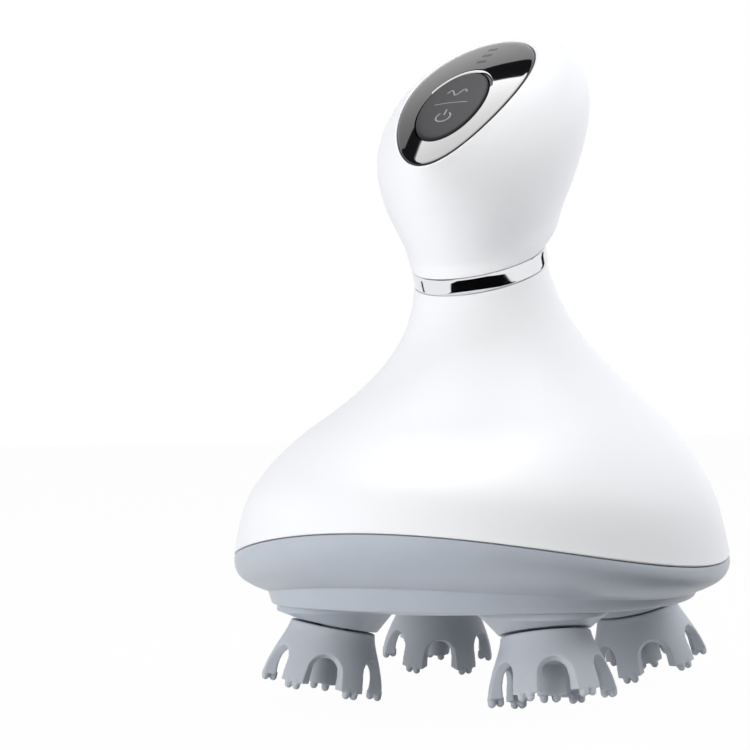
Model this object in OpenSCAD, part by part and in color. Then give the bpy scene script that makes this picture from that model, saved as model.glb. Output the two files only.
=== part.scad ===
// Electric scalp massager: a mushroom-headed handle on a bell-shaped body, with four splayed,
// gear-driven kneading heads underneath. The origin lies on the surface that the massager stands
// on, under its middle. The front of the massager faces -Y.

/* [Body] */
// Half the width of the body at the parting line
body_half_width = 54; // [52:0.5:56]
// Half the length of the body at the parting line
body_half_length = 57; // [56:0.5:60]
// How much wider the front half is than the back half
body_egg = 0.055; // [0:0.005:0.08]
// Mean height of the parting line between the white body and the grey base
parting_z = 34; // [33:0.5:35]
// How far the parting line rises at the front and back and drops at the sides
parting_wave = 5; // [3:0.5:5]
// Wall of the moulded body
body_wall = 2.6; // [2.2:0.1:3]

/* [Knob] */
// Height of the middle of the trim ring
ring_z = 95; // [94:0.5:96]
// Radius of the trim ring
ring_radius = 15.3; // [15:0.1:16]
// Height of the trim ring's band
ring_height = 4; // [3:0.5:4.5]
// Forward tilt of the trim ring
ring_tilt = 22; // [18:1:24]
// Wall of the moulded knob
knob_wall = 2.4; // [2:0.1:2.8]
// Forward tilt of the control panel
panel_tilt = 38; // [37:0.5:39]
// Half the width of the control panel
panel_half_width = 13.7; // [13.4:0.1:14]
// Half the length of the control panel
panel_half_length = 26.4; // [26:0.1:26.8]
// How much wider the upper half of the panel is than its lower half
panel_egg = 0.17; // [0.12:0.01:0.2]
// Rise of the panel's dome above the ends of its rim
panel_dome = 2.7; // [2.2:0.1:3]
// How much higher the sides of the panel's rim lie than its ends
rim_rise = 1.5; // [1:0.1:1.8]

/* [Control button] */
// Half the width of the oval button
button_half_width = 7.5; // [7:0.1:7.6]
// Half the length of the oval button
button_half_length = 13.2; // [12.8:0.1:13.4]
// How far the middle of the button lies below the middle of the panel
button_offset = 5.6; // [5:0.1:5.8]

/* [Kneading heads] */
// Distance of each head from the middle, along X and along Y
head_pitch = 25.2; // [25:0.1:25.6]
// Outward splay of each head's axis
head_splay = 13.2; // [12.5:0.1:13.5]
// Radius of the collar at the top of a head
collar_radius = 9.3; // [9.2:0.1:9.6]
// Radius of the circle on which the finger tips stand
tip_circle = 11.8; // [11.6:0.1:12]
// Depth of the finger tips below the seam
tip_depth = 12.7; // [12.2:0.1:12.9]
// Width of each finger
finger_width = 5.4; // [5:0.1:5.6]
// Number of outer fingers on each head
finger_count = 6; // [6]
// Radius of one rubber nodule
nodule_radius = 0.85; // [0.7:0.05:0.9]

/* [Drive train] */
// Teeth on the central drive gear
drive_teeth = 36; // [36]
// Teeth on each head gear
head_teeth = 24; // [24]
// Width of the conical gear teeth along their axis
gear_width = 4.5; // [4:0.1:4.6]
// Module of the reduction gears
reduction_module = 0.5; // [0.5]
// Teeth on the motor pinion
pinion_teeth = 12; // [12]
// Teeth on the large wheel of each reduction gear
wheel_teeth = 46; // [46]
// Teeth on the small wheel of each reduction gear
small_teeth = 13; // [13]
// Teeth on the wheel on top of the drive shaft
output_teeth = 45; // [45]

/* [Inner parts] */
// Diameter of the battery cell
cell_diameter = 18.4; // [18:0.1:18.6]
// Length of the battery cell
cell_length = 48; // [46:1:49]
// Diameter of the motor can
motor_diameter = 23; // [22:0.5:23]
// Length of the motor can
motor_length = 21; // [19:0.5:21.5]

/* [Hidden] */

white = "#f2f3f5";
grey = "#a9b0ba";
claw_grey = "#9aa2ad";
dark = "#17181b";
chrome = "#c9ccd1";
brass = "#c8a24a";
steel = "#b4b8bd";
board_green = "#1f5c3a";
acetal = "#e7e2d4";

round_fn = 48;
body_steps = 56;
knob_steps = 48;
gap = 0.2;

// ---------------------------------------------------------------- small helpers
function blend(a, b, t) = a + (b - a) * t;
function reversed(list) = [for (i = [len(list) - 1 : -1 : 0]) list[i]];

// Catmull-Rom value through a table of rows, at t counted in rows.
function row_at(rows, t) =
    let (last = len(rows) - 1,
         i = min(floor(t), last - 1),
         u = t - i,
         p0 = rows[max(i - 1, 0)], p1 = rows[i],
         p2 = rows[i + 1], p3 = rows[min(i + 2, last)])
    0.5 * ((2 * p1) + (p2 - p0) * u + (2 * p0 - 5 * p1 + 4 * p2 - p3) * u * u
           + (3 * p1 - p0 - 3 * p2 + p3) * u * u * u);

// All rows of a table with steps in between, from one end to the other.
function fine_rows(rows, steps) =
    [for (k = [0 : (len(rows) - 1) * steps]) row_at(rows, k / steps)];

// One closed ring of points. A row is [y, z, tilt, half width, half length, wave].
function ring_points(row, steps, egg = 0, inset = 0) =
    [for (i = [0 : steps - 1])
        let (turn = 360 * i / steps,
             along = (row[4] - inset) * sin(turn),
             drop = row[5] * cos(2 * turn))
        [(row[3] - inset) * cos(turn) * (1 - egg * sin(turn)),
         row[0] + along * cos(row[2]) + drop * sin(row[2]),
         row[1] + along * sin(row[2]) - drop * cos(row[2])]];

// Faces between consecutive rings of a loft. The last ring joins the first when closed.
function band_faces(count, steps, closed) =
    [for (k = [0 : count - (closed ? 1 : 2)], i = [0 : steps - 1])
        let (j = (i + 1) % steps, a = k * steps, b = ((k + 1) % count) * steps)
        each [[a + i, a + j, b + j], [a + i, b + j, b + i]]];

// A tube-like solid whose rings run down the outside and back up the inside.
module ring_tube(rings) {
    steps = len(rings[0]);
    polyhedron([for (ring = rings) each ring], band_faces(len(rings), steps, true), convexity = 8);
}

// A solid closed by a flat first ring at its top and a flat last ring at its foot.
module ring_solid(rings) {
    steps = len(rings[0]);
    count = len(rings);
    caps = [[for (i = [steps - 1 : -1 : 0]) i],
            [for (i = [0 : steps - 1]) (count - 1) * steps + i]];
    polyhedron([for (ring = rings) each ring],
               concat(band_faces(count, steps, false), caps), convexity = 8);
}

module tube(outer, inner, height) {
    difference() {
        cylinder(h = height, r = outer, $fn = round_fn);
        translate([0, 0, -1]) cylinder(h = height + 2, r = inner, $fn = round_fn);
    }
}

module screw(shank, length, head = 2.1) {
    cylinder(h = length, d = shank, $fn = 24);
    translate([0, 0, -1.4]) difference() {
        cylinder(h = 1.4, r = head, $fn = 24);
        for (turn = [0, 90]) rotate(turn)
            translate([-1.2, -0.25, -0.1]) cube([2.4, 0.5, 0.8]);
    }
}

// A gear outline with straight-sided teeth, its first tooth on the +X side.
module gear_outline(teeth, mod, slack, root = 1.2, tip = 0.9) {
    pitch = mod * teeth / 2;
    half = 90 / teeth;
    thin = slack / 2 / pitch * 57.2958;
    outer = pitch + mod * tip;
    inner = pitch - mod * root;
    polygon([for (k = [0 : teeth - 1])
        let (mid = 360 * k / teeth)
        each [for (p = [[inner, -1.52], [outer, -0.42], [outer, 0.42], [inner, 1.52]])
            let (turn = mid + p[1] * half - sign(p[1]) * thin) [p[0] * cos(turn), p[0] * sin(turn)]]]);
}

// ---------------------------------------------------------------- shared places
ring_y = 1;
panel_y = -4.8;
panel_z = 131.2;
HEADS = [[-1, -1], [1, -1], [-1, 1], [1, 1]];
nodule_drop = 0.6;
nodule_spread = 1.1;
// The massager stands on the innermost fingers, which point 15 degrees off the diagonal.
seam_z = nodule_radius + (tip_depth + nodule_drop) * cos(head_splay)
         + ((tip_circle + nodule_spread / 2) * cos(15)
            + nodule_spread * sin(60) * sin(15)) * sin(head_splay);
splay_reach = head_pitch * sqrt(2);
apex_length = splay_reach / sin(head_splay);
apex_z = seam_z + apex_length * cos(head_splay);
head_cone = atan(sin(head_splay) / (drive_teeth / head_teeth + cos(head_splay)));
drive_cone = head_splay - head_cone;

function head_turn(i) = atan2(HEADS[i][1], HEADS[i][0]);

// The fingers of every head point the same ways, the first one straight to the back.
function finger_turn(i) = 90 - head_turn(i);

// Stands a child, drawn along +Z with its seam at 0, on head number i.
module at_head(i) {
    rotate(head_turn(i)) translate([splay_reach, 0, seam_z]) rotate([0, -head_splay, 0]) children();
}

// Stands a child on the plane of the trim ring.
module at_ring(lift = 0) {
    translate([0, ring_y, ring_z]) rotate([ring_tilt, 0, 0]) translate([0, 0, lift]) children();
}

// Stands a child on the plane of the control panel's rim.
module at_panel() {
    translate([0, panel_y, panel_z]) rotate([panel_tilt, 0, 0]) children();
}

// ---------------------------------------------------------------- white body
neck_end = [ring_y + ring_height / 2 * sin(ring_tilt), ring_z - ring_height / 2 * cos(ring_tilt)];
BELL_ROWS = [
    [neck_end[0], neck_end[1], ring_tilt, ring_radius - 0.3, ring_radius - 0.3, 0],
    [2.6, 88, 19, 16.2, 16.2, 0],
    [3.4, 82, 15, 18.5, 18.8, 0],
    [3.8, 76, 11, 22.3, 22.9, 0],
    [3.6, 70.5, 8, 27.2, 28, 0],
    [2.8, 65, 5.5, 33.2, 34.2, 0],
    [1.6, 59, 3, 40.5, 41.9, 0.3],
    [0.6, 52, 1.2, 46.8, 48.9, 1.2],
    [0, 44, 0, 51.5, 54.1, 2.8],
    [0, parting_z, 0, body_half_width, body_half_length, parting_wave]];
rim_step = 1.3;
rim_depth = 1;

function at_height(row, lift) = [row[0], row[1] + lift, row[2], row[3], row[4], row[5]];

module bell_shell() {
    rim = BELL_ROWS[len(BELL_ROWS) - 1];
    outside = fine_rows(BELL_ROWS, 2);
    inside = [for (k = [len(BELL_ROWS) - 2 : -1 : 0]) BELL_ROWS[k]];
    ring_tube(concat(
        [for (row = outside) ring_points(row, body_steps, body_egg)],
        [ring_points(rim, body_steps, body_egg, rim_step),
         ring_points(at_height(rim, rim_depth), body_steps, body_egg, rim_step),
         ring_points(at_height(rim, rim_depth), body_steps, body_egg, body_wall)],
        [for (row = inside) ring_points(row, body_steps, body_egg, body_wall)]));
}

base_screw_places = [[43, 0], [-43, 0], [0, 45], [0, -44]];
function boss_foot(place) = place[0] == 0 ? 37 : 31;
function boss_top(place) = place[0] != 0 ? 49.5 : place[1] > 0 ? 53.2 : 52;
base_thread = 2.1;
slack = 0.04;

module bell_housing() {
    color(white) {
        difference() {
            union() {
                bell_shell();
                for (place = base_screw_places)
                    translate([place[0], place[1], boss_foot(place)])
                        cylinder(h = boss_top(place) - boss_foot(place), r = 3.1, $fn = 32);
                at_ring(flange_foot) tube(14.2, neck_bore, flange_wall);
            }
            for (place = base_screw_places)
                translate([place[0], place[1], boss_foot(place) - 1])
                    cylinder(h = 11, d = base_thread + slack, $fn = 24);
            for (turn = neck_screw_turns)
                at_ring(flange_foot - 1) rotate(turn)
                    translate([neck_screw_reach, 0, 0]) cylinder(h = 5, d = 2.3, $fn = 24);
        }
    }
}

// ---------------------------------------------------------------- trim ring and knob
neck_screw_turns = [30, 150, 270];
neck_screw_reach = 10.6;
neck_thread = 1.8;
neck_bore = 9;
neck_collar = 12.1;
flange_wall = 2.4;
flange_foot = -ring_height / 2 - 4;
collar_foot = flange_foot + flange_wall + 0.1;

module trim_ring() {
    color(chrome) at_ring(-ring_height / 2 + gap / 2)
        rotate_extrude($fn = round_fn) {
            band = ring_height - gap;
            polygon([[neck_collar + gap, 0], [ring_radius - 0.3, 0], [ring_radius, 0.4],
                     [ring_radius + 0.15, band / 2], [ring_radius, band - 0.4],
                     [ring_radius - 0.3, band], [neck_collar + gap, band]]);
        }
}

KNOB_ROWS = [
    [ring_y - ring_height / 2 * sin(ring_tilt), ring_z + ring_height / 2 * cos(ring_tilt), ring_tilt,
     ring_radius - 0.2, ring_radius - 0.2, 0],
    [2.35, 100.6, 23.9, 16.9, 17.6, 0],
    [3.5, 105, 27.1, 17.9, 20.9, 0],
    [4.3, 110.6, 30.3, 20.1, 24.7, 0],
    [4.6, 116.8, 34, 22.4, 28.3, -0.1],
    [4, 122.4, 36.7, 23.7, 30.8, -0.2],
    [2.2, 127.1, 38, 23.3, 31.8, -0.45],
    [-0.9, 130.4, 38, 19.9, 30.7, -0.65],
    panel_row(-0.15, 0.8)];
lip_depth = 2.9;

// A row that stands on the rim of the control panel.
function panel_row(lift, grow) =
    let (rise = lift + rim_rise / 2)
    [panel_y - rise * sin(panel_tilt), panel_z + rise * cos(panel_tilt), panel_tilt,
     panel_half_width + grow, panel_half_length + grow, -rim_rise / 2];

// The ring at a distance above the panel's rim and outside it, in the panel's own frame.
function rim_ring(lift, grow) =
    [for (turn = turns)
        let (rim = panel_point(1, turn, 0), wider = panel_point(1, turn, 0, grow))
        [wider[0], wider[1], rim[2] + lift]];

function from_panel(p) = [p[0], panel_y + p[1] * cos(panel_tilt) - p[2] * sin(panel_tilt),
                          panel_z + p[1] * sin(panel_tilt) + p[2] * cos(panel_tilt)];

function knob_egg(k, last) = -panel_egg * pow(k / last, 2);

module knob_shell() {
    last = len(KNOB_ROWS) - 1;
    outside = fine_rows(KNOB_ROWS, 2);
    ledge = [[-0.1, gap], [-lip_depth, gap], [-lip_depth, -1.4], [-lip_depth - 1.6, -1.4]];
    ring_tube(reversed(concat(
        [for (k = [0 : 2 * last]) ring_points(outside[k], knob_steps, knob_egg(k, 2 * last))],
        [for (p = ledge) [for (point = rim_ring(p[0], p[1])) from_panel(point)]],
        [for (k = [last - 2 : -1 : 0])
            ring_points(KNOB_ROWS[k], knob_steps, knob_egg(k, last), knob_wall)])));
}

module knob_housing() {
    color(white) {
        difference() {
            union() {
                knob_shell();
                at_ring() rotate_extrude($fn = round_fn)
                    polygon([[neck_bore, collar_foot], [neck_collar, collar_foot],
                             [neck_collar, ring_height / 2 + 0.3], [13.6, ring_height / 2 + 0.5],
                             [13.6, ring_height / 2 + 3.4], [neck_bore, ring_height / 2 + 3.4]]);
            }
            for (turn = neck_screw_turns)
                at_ring(collar_foot - 1) rotate(turn) translate([neck_screw_reach, 0, 0])
                    cylinder(h = 7.5, d = neck_thread + slack, $fn = 24);
        }
    }
}

module neck_screws() {
    color(steel) for (turn = neck_screw_turns)
        at_ring(flange_foot - slack) rotate(turn)
            translate([neck_screw_reach, 0, 0]) screw(neck_thread, 8, 1.7);
}

// ---------------------------------------------------------------- control panel and button
function dome(x, y) =
    panel_dome - (panel_dome - rim_rise) * pow(x / panel_half_width, 2)
    - panel_dome * pow(y / panel_half_length, 2);

// A point between the edge of the button opening (0) and the rim of the panel (1).
function panel_point(part, turn, drop, grow = 0) =
    let (side = (panel_half_width + grow) * (1 + panel_egg * sin(turn)),
         x = blend(button_half_width + button_gap, side, part) * cos(turn),
         y = blend(-button_offset, 0, part)
             + blend(button_half_length + button_gap, panel_half_length + grow, part) * sin(turn))
    [x, y, dome(x, y) - drop];

// A point on the button's top or underside, at a share of its outline.
function button_point(share, turn, lift) =
    let (x = button_half_width * share * cos(turn),
         y = button_half_length * share * sin(turn) - button_offset)
    [x, y, dome(x, y) + lift];

button_gap = 0.35;
panel_wall = 2.1;
pivot_drop = 3.2;
pivot_radius = 1;
board_drop = 6.6;
board_wall = 1.2;
board_thread = 1.2;
switch_reach = 8;
button_foot = 4;
lamp_places = [13.8, 17.4, 21];
board_posts = [[-8.6, 13], [8.6, 13], [0, -21]];
turns = [for (i = [0 : knob_steps - 1]) 360 * i / knob_steps];

module panel_shell() {
    ring_tube([for (p = [[0, 0], [0.35, 0], [0.7, 0], [0.93, 0], [1, 0.35], [1, panel_wall],
                         [0.5, panel_wall], [0, panel_wall]])
        [for (turn = turns) panel_point(p[0], turn, p[1])]]);
}

module control_panel() {
    color(dark) at_panel() difference() {
        union() {
            panel_shell();
            for (side = [-1, 1]) translate([side * 8.9 - 0.8, -button_offset - 2, -4.6])
                cube([1.6, 4, 5.6]);
            for (place = board_posts) translate([place[0], place[1], -board_drop + slack])
                cylinder(h = board_drop + dome(place[0], place[1]) - 1, r = 1.8, $fn = 24);
        }
        translate([-12, -button_offset, -pivot_drop]) rotate([0, 90, 0])
            cylinder(h = 24, r = pivot_radius + 0.06, $fn = 24);
        for (place = board_posts) translate([place[0], place[1], -board_drop - 1])
            cylinder(h = 5, d = board_thread + slack, $fn = 16);
        for (y = lamp_places) translate([-1.1, y - 0.6, -3]) cube([2.2, 1.2, 6]);
    }
}

module indicator_lenses() {
    color("#9fb6ff") at_panel() for (y = lamp_places)
        translate([-1.05, y - 0.55, -board_drop + 1])
            cube([2.1, 1.1, board_drop - 1 + dome(0, y) - 0.15]);
}

module control_button() {
    rings = [[0.25, 0.35], [0.5, 0.35], [0.75, 0.35], [0.95, 0.35], [0.985, 0.15],
             [1, -0.15], [1, -1.9], [0.94, -2.4]];
    color("#2a2b2f") at_panel() {
        ring_solid([for (p = rings) [for (turn = turns) button_point(p[0], turn, p[1])]]);
        translate([-6.6, -button_offset - 1.2, -pivot_drop]) cube([13.2, 2.4, pivot_drop + 1]);
        translate([-9.6, -button_offset, -pivot_drop]) rotate([0, 90, 0])
            cylinder(h = 19.2, r = pivot_radius, $fn = 24);
        for (side = [-1, 1]) translate([0, side * switch_reach - button_offset, -button_foot])
            cylinder(h = button_foot + 1.2, r = 1.2, $fn = 24);
    }
}

// Soft gasket between the panel's rim and the ledge that it rests on.
module panel_seal() {
    top = -panel_wall - slack / 2;
    foot = -lip_depth + slack / 2;
    color("#3a3c40") at_panel()
        ring_tube([rim_ring(top, -0.1), rim_ring(foot, -0.1), rim_ring(foot, -1.2), rim_ring(top, -1.2)]);
}

// An oval made of two side arcs and two end arcs.
module oval(half_width, half_length) {
    intersection() {
        side = (half_length * half_length + half_width * half_width) / (2 * half_width);
        translate([side - half_width, 0]) circle(r = side, $fn = 96);
        translate([half_width - side, 0]) circle(r = side, $fn = 96);
    }
}

module control_board() {
    color(board_green) at_panel() difference() {
        union() {
            translate([0, 0, -board_drop - board_wall]) linear_extrude(board_wall)
                intersection() {
                    circle(r = 22.8, $fn = 96);
                    oval(11.6, 25.6);
                }
            translate([-5, -16, -board_drop - 2.6]) cube([10, 6, 1.5]);
            translate([-7, 2, -board_drop - 2.3]) cube([6, 6, 1.2]);
            for (y = lamp_places) translate([-0.8, y - 0.5, -board_drop - 0.1]) cube([1.6, 1, 0.9]);
        }
        for (place = board_posts) translate([place[0], place[1], -board_drop - 3])
            cylinder(h = 6, d = 1.9, $fn = 16);
    }
}

module board_screws() {
    color(steel) at_panel() for (place = board_posts)
        translate([place[0], place[1], -board_drop - board_wall - slack]) screw(board_thread, 4, 1.5);
}

module tact_switches() {
    color("#30323a") at_panel() for (side = [-1, 1])
        translate([0, side * switch_reach - button_offset, -board_drop + slack]) {
            translate([-2.2, -2.2, 0]) cube([4.4, 4.4, 1.6]);
            cylinder(h = 2.2, r = 0.9, $fn = 24);
        }
}

// ---------------------------------------------------------------- grey base
BASE_ROWS = [
    [0, parting_z - gap, 0, body_half_width - 0.1, body_half_length - 0.1, parting_wave],
    [0, 31.2, 0, 53.8, 56.8, 4.4],
    [0, 28.2, 0, 52.5, 55.5, 3.5],
    [0, 26, 0, 49.8, 52.8, 2.7],
    [0, 24.9, 0, 47.6, 50.6, 2.1],
    [0, 24.3, 0, 46.7, 49.7, 1.8],
    [0, 22.7, 0, 46, 49, 1.1],
    [0, 21.5, 0, 45.2, 48.2, 0.5],
    [0, 20.95, 0, 44.2, 47.2, 0.3],
    [0, 20.6, 0, 18, 18, 0]];
BASE_INSIDE = [
    [0, 23.6, 0, 18, 18, 0],
    [0, 23.7, 0, 40, 43, 0.1],
    [0, 25.4, 0, 45.4, 48.4, 1.2],
    [0, 28.4, 0, 50, 53, 3.2]];
floor_z = 23.6;
plate_post_reach = 36;
plate_z = 38;
plate_thickness = 2;
seat_reach = 6.5;
contact_places = [[-6, 35], [6, 35]];
pod_reach = 35.3;

module base_shell() {
    rim = BASE_ROWS[0];
    ring_solid(concat(
        [for (row = BASE_INSIDE) ring_points(row, body_steps, body_egg)],
        [ring_points(at_height(rim, -rim_depth), body_steps, body_egg, body_wall - 0.1),
         ring_points(at_height(rim, -rim_depth), body_steps, body_egg, rim_step - 0.1),
         ring_points(rim, body_steps, body_egg, rim_step - 0.1)],
        [for (row = BASE_ROWS) ring_points(row, body_steps, body_egg)]));
}

// Where a point of a head's own frame lies across (0) and up (1) before the head is turned.
function head_spot(across, up) = [
    splay_reach + across * cos(head_splay) - up * sin(head_splay),
    seam_z + across * sin(head_splay) + up * cos(head_splay)];

// The foot of a pod: a round stand that leans out of the floor and narrows to the head's collar.
module pod_foot() {
    turns = [for (i = [0 : round_fn - 1]) 360 * i / round_fn];
    stand = [[24.4, 15.2, 1], [20.75, 13.8, 0], [20.35, 13.4, 0]];
    collar = [[collar_radius + 0.4, 0.45], [collar_radius + 0.1, 0.15]];
    ring_solid(concat(
        [for (p = stand) [for (turn = turns)
            [pod_reach + p[1] * cos(turn), p[1] * sin(turn), p[0] + p[2] * cos(turn)]]],
        [for (p = collar) [for (turn = turns)
            let (spot = head_spot(p[0] * cos(turn), p[1])) [spot[0], p[0] * sin(turn), spot[1]]]]));
}

module head_pod() {
    rotate_extrude($fn = round_fn)
        polygon([[0, 1], [9, 1], [9.7, 2.2], [10.5, 3], [11.8, 6], [11.8, 8.6], [6.4, 8.8],
                 [6.4, 10.2], [0, 10.2]]);
}

module base_chassis() {
    color(grey) difference() {
        union() {
            base_shell();
            for (i = [0 : 3]) {
                rotate(head_turn(i)) pod_foot();
                at_head(i) head_pod();
            }
            for (turn = [0, 90, 180, 270]) rotate(turn)
                translate([plate_post_reach, 0, floor_z - 0.6])
                    cylinder(h = plate_z - floor_z + 0.6, r = 3.2, $fn = 32);
            for (place = base_screw_places)
                translate([place[0], place[1], floor_z - 0.6])
                    cylinder(h = boss_foot(place) - gap - floor_z + 0.6, r = 3.4, $fn = 32);
            translate([0, 0, floor_z - 0.6]) cylinder(h = 2.6, r = 5.4, $fn = 32);
        }
        for (i = [0 : 3]) at_head(i) {
            translate([0, 0, -1]) cylinder(h = 4.5, r = seal_radius, $fn = round_fn);
            cylinder(h = 12, r = bush_radius, $fn = round_fn);
        }
        for (turn = [0, 90, 180, 270]) rotate(turn)
            translate([plate_post_reach, 0, plate_z - 10]) cylinder(h = 11, d = 2.1, $fn = 24);
        for (place = base_screw_places) {
            translate([place[0], place[1], 10])
                cylinder(h = boss_foot(place) - seat_reach - 10, r = 2.5, $fn = 24);
            translate([place[0], place[1], 10]) cylinder(h = 40, r = 1.4, $fn = 24);
        }
        for (place = contact_places) translate([place[0], place[1], 15])
            cylinder(h = 15, r = 1.6, $fn = 24);
        for (place = contact_places) translate([place[0], place[1], 15])
            cylinder(h = 6.8, r = 2.5, $fn = 24);
        translate([0, 0, base_bush_foot - slack]) cylinder(h = 10, r = bush_radius, $fn = round_fn);
    }
}

module base_gasket() {
    rim = [0, parting_z, 0, body_half_width, body_half_length, parting_wave];
    low = at_height(rim, -gap - rim_depth + 0.05);
    high = at_height(rim, rim_depth - 0.05);
    color("#4a4e55") ring_tube([
        ring_points(high, body_steps, body_egg, rim_step + 0.1),
        ring_points(low, body_steps, body_egg, rim_step + 0.1),
        ring_points(low, body_steps, body_egg, body_wall - 0.1),
        ring_points(high, body_steps, body_egg, body_wall - 0.1)]);
}

module base_screws() {
    color(steel) for (place = base_screw_places)
        translate([place[0], place[1], boss_foot(place) - seat_reach]) screw(2.1, 15, 2.2);
}

module charging_contacts() {
    color(brass) for (place = contact_places) translate([place[0], place[1], 20.5]) {
        cylinder(h = 1.3, r = 2.4, $fn = 32);
        cylinder(h = 6.5, r = 1.5, $fn = 32);
    }
}

// ---------------------------------------------------------------- kneading heads
seal_radius = 5.6;
bush_radius = 4.2;
shaft_radius = 2.5;
fit = 0.03;
spigot_width = 8;
spigot_length = 3.2;
gear_foot = 13.5;
upper_bush_foot = 19.3;
upper_bush_top = 22.9;
arch_top = 5.2;
hub_depth = 4.4;

module head_shaft() {
    translate([0, 0, 1 - hub_depth])
        cylinder(h = upper_bush_top - 1.3 + hub_depth, r = shaft_radius, $fn = 32);
}

module head_gear() {
    foot_radius = (apex_length - gear_foot) * tan(head_cone);
    difference() {
        union() {
            translate([0, 0, gear_foot])
                linear_extrude(gear_width, scale = 1 - gear_width / (apex_length - gear_foot))
                    gear_outline(head_teeth, 2 * foot_radius / head_teeth, 0.24);
            translate([0, 0, gear_foot - 1.6]) cylinder(h = gear_width + 2.2, r = 4.6, $fn = 32);
        }
        cylinder(h = 40, r = shaft_radius + fit, $fn = 32);
    }
}

module head_hub() {
    difference() {
        union() {
            translate([0, 0, -hub_depth]) cylinder(h = spigot_length + 0.6, d = spigot_width, $fn = 6);
            translate([0, 0, -1.2]) cylinder(h = 0.8, r = 4.4, $fn = 32);
        }
        translate([0, 0, -hub_depth + 0.9]) cylinder(h = 10, r = shaft_radius + fit, $fn = 32);
    }
}

module head_seal() {
    translate([0, 0, 0.7]) tube(seal_radius - fit, shaft_radius + fit, 2.7);
}

// Arches that widen outwards between the fingers and leave fingers of even width.
module finger_cutters() {
    reach = 12;
    share = 180 / finger_count;
    start = finger_width / 2 / sin(share);
    crown = (tip_circle - start) * tan(share);
    for (k = [0 : finger_count - 1]) rotate(360 * (k + 0.5) / finger_count)
        translate([start + reach, 0, -arch_top - crown]) rotate([90, 0, -90])
            linear_extrude(reach, scale = 0.01) scale(reach * tan(share))
                polygon(concat([for (turn = [0 : 15 : 180]) [cos(turn), sin(turn)]], [[-1, -3], [1, -3]]));
}

// The nodules stand in a triangle on each finger tip.
module nodules(reach) {
    for (k = [0 : 2]) rotate(120 * k) translate([reach, 0, -tip_depth - nodule_drop]) {
        cylinder(h = 2 * nodule_drop, r = nodule_radius, $fn = 16);
        sphere(r = nodule_radius, $fn = 16);
    }
}

module head_claw(turn) {
    difference() {
        rotate_extrude($fn = round_fn)
            polygon([[0, -0.15], [collar_radius - 0.3, -0.15], [collar_radius, -0.45],
                     [collar_radius + 0.4, -2.2], [collar_radius + 1.6, -5.2],
                     [collar_radius + 2.9, -8.6], [collar_radius + 3.6, -11],
                     [tip_circle + 1.4, -tip_depth], [tip_circle - 1.4, -tip_depth],
                     [tip_circle - 1.7, -11], [tip_circle - 2.5, -8.8], [tip_circle - 4.2, -7],
                     [tip_circle - 6, -6.3], [3, -6.2], [3, -tip_depth], [0, -tip_depth]]);
        rotate(turn) finger_cutters();
        translate([0, 0, -hub_depth - 0.2]) cylinder(h = 10, d = spigot_width + 0.2, $fn = 6);
        translate([0, 0, -1.4]) cylinder(h = 3, r = 4.6, $fn = 32);
    }
    rotate(turn) nodules(1.7);
    for (k = [0 : finger_count - 1]) rotate(turn + 360 * k / finger_count)
        translate([tip_circle, 0, 0]) rotate(180) nodules(nodule_spread);
}

// ---------------------------------------------------------------- drive train
mid_length = apex_length - gear_foot - gear_width / 2;
drive_mid_z = apex_z - mid_length / cos(head_cone) * cos(drive_cone);
drive_gear_z = drive_mid_z - gear_width / 2;
train_reach = reduction_module * (pinion_teeth + wheel_teeth) / 2;
train_half_angle = asin(reduction_module * (wheel_teeth + small_teeth) / 4 / train_reach);
first_turn = 90 + train_half_angle;
second_turn = 90 - train_half_angle;
first_place = train_reach * [cos(first_turn), sin(first_turn)];
second_place = train_reach * [cos(second_turn), sin(second_turn)];
level_one = 42;
level_two = 46.8;
level_three = 50.2;
wheel_width = 2.6;
output_width = 4;
axle_radius = 1;
base_bush_foot = 22;

// Turn of a gear that meshes with another one, seen in the given direction from it.
function mesh_turn(turn, teeth, direction, other_teeth) =
    direction + 180 - 360 / other_teeth * (0.5 - (direction - turn) * teeth / 360);

function direction_of(from, to) = atan2(to[1] - from[1], to[0] - from[0]);

second_phase = mesh_turn(0, output_teeth, second_turn, small_teeth);
first_phase = mesh_turn(second_phase, wheel_teeth, direction_of(second_place, first_place),
                        small_teeth);
pinion_phase = mesh_turn(first_phase, wheel_teeth, direction_of(first_place, [0, 0]),
                         pinion_teeth);

module spur(teeth, height, turn, bore) {
    difference() {
        rotate(turn) linear_extrude(height) gear_outline(teeth, reduction_module, 0.1);
        translate([0, 0, -1]) cylinder(h = height + 2, r = bore, $fn = 24);
    }
}

module drive_bushes() {
    color(brass) for (foot = [base_bush_foot, plate_z - 1])
        translate([0, 0, foot]) tube(bush_radius - fit, shaft_radius + fit, 3.5);
}

module drive_shaft() {
    foot = base_bush_foot + 0.3;
    color(steel) translate([0, 0, foot])
        cylinder(h = level_one + output_width - foot, r = shaft_radius, $fn = 32);
}

module drive_gear() {
    foot_radius = (apex_z - drive_gear_z) * tan(drive_cone);
    color(acetal) translate([0, 0, drive_gear_z]) difference() {
        union() {
            linear_extrude(gear_width, scale = 1 - gear_width / (apex_z - drive_gear_z))
                gear_outline(drive_teeth, 2 * foot_radius / drive_teeth, 0.24);
            cylinder(h = gear_width + 4, r = 5, $fn = 32);
        }
        translate([0, 0, -1]) cylinder(h = 20, r = shaft_radius + fit, $fn = 32);
        for (k = [0 : 5]) rotate(60 * k) translate([12, 0, -1]) cylinder(h = 10, r = 3.6, $fn = 32);
    }
}

module output_wheel() {
    color(acetal) translate([0, 0, level_one]) spur(output_teeth, output_width, 0, shaft_radius + fit);
}

module first_reduction_gear() {
    color(acetal) translate([first_place[0], first_place[1], 0]) {
        translate([0, 0, level_three]) spur(wheel_teeth, wheel_width, first_phase, axle_radius + 0.05);
        translate([0, 0, level_two])
            spur(small_teeth, level_three - level_two, first_phase, axle_radius + 0.05);
    }
}

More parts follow.
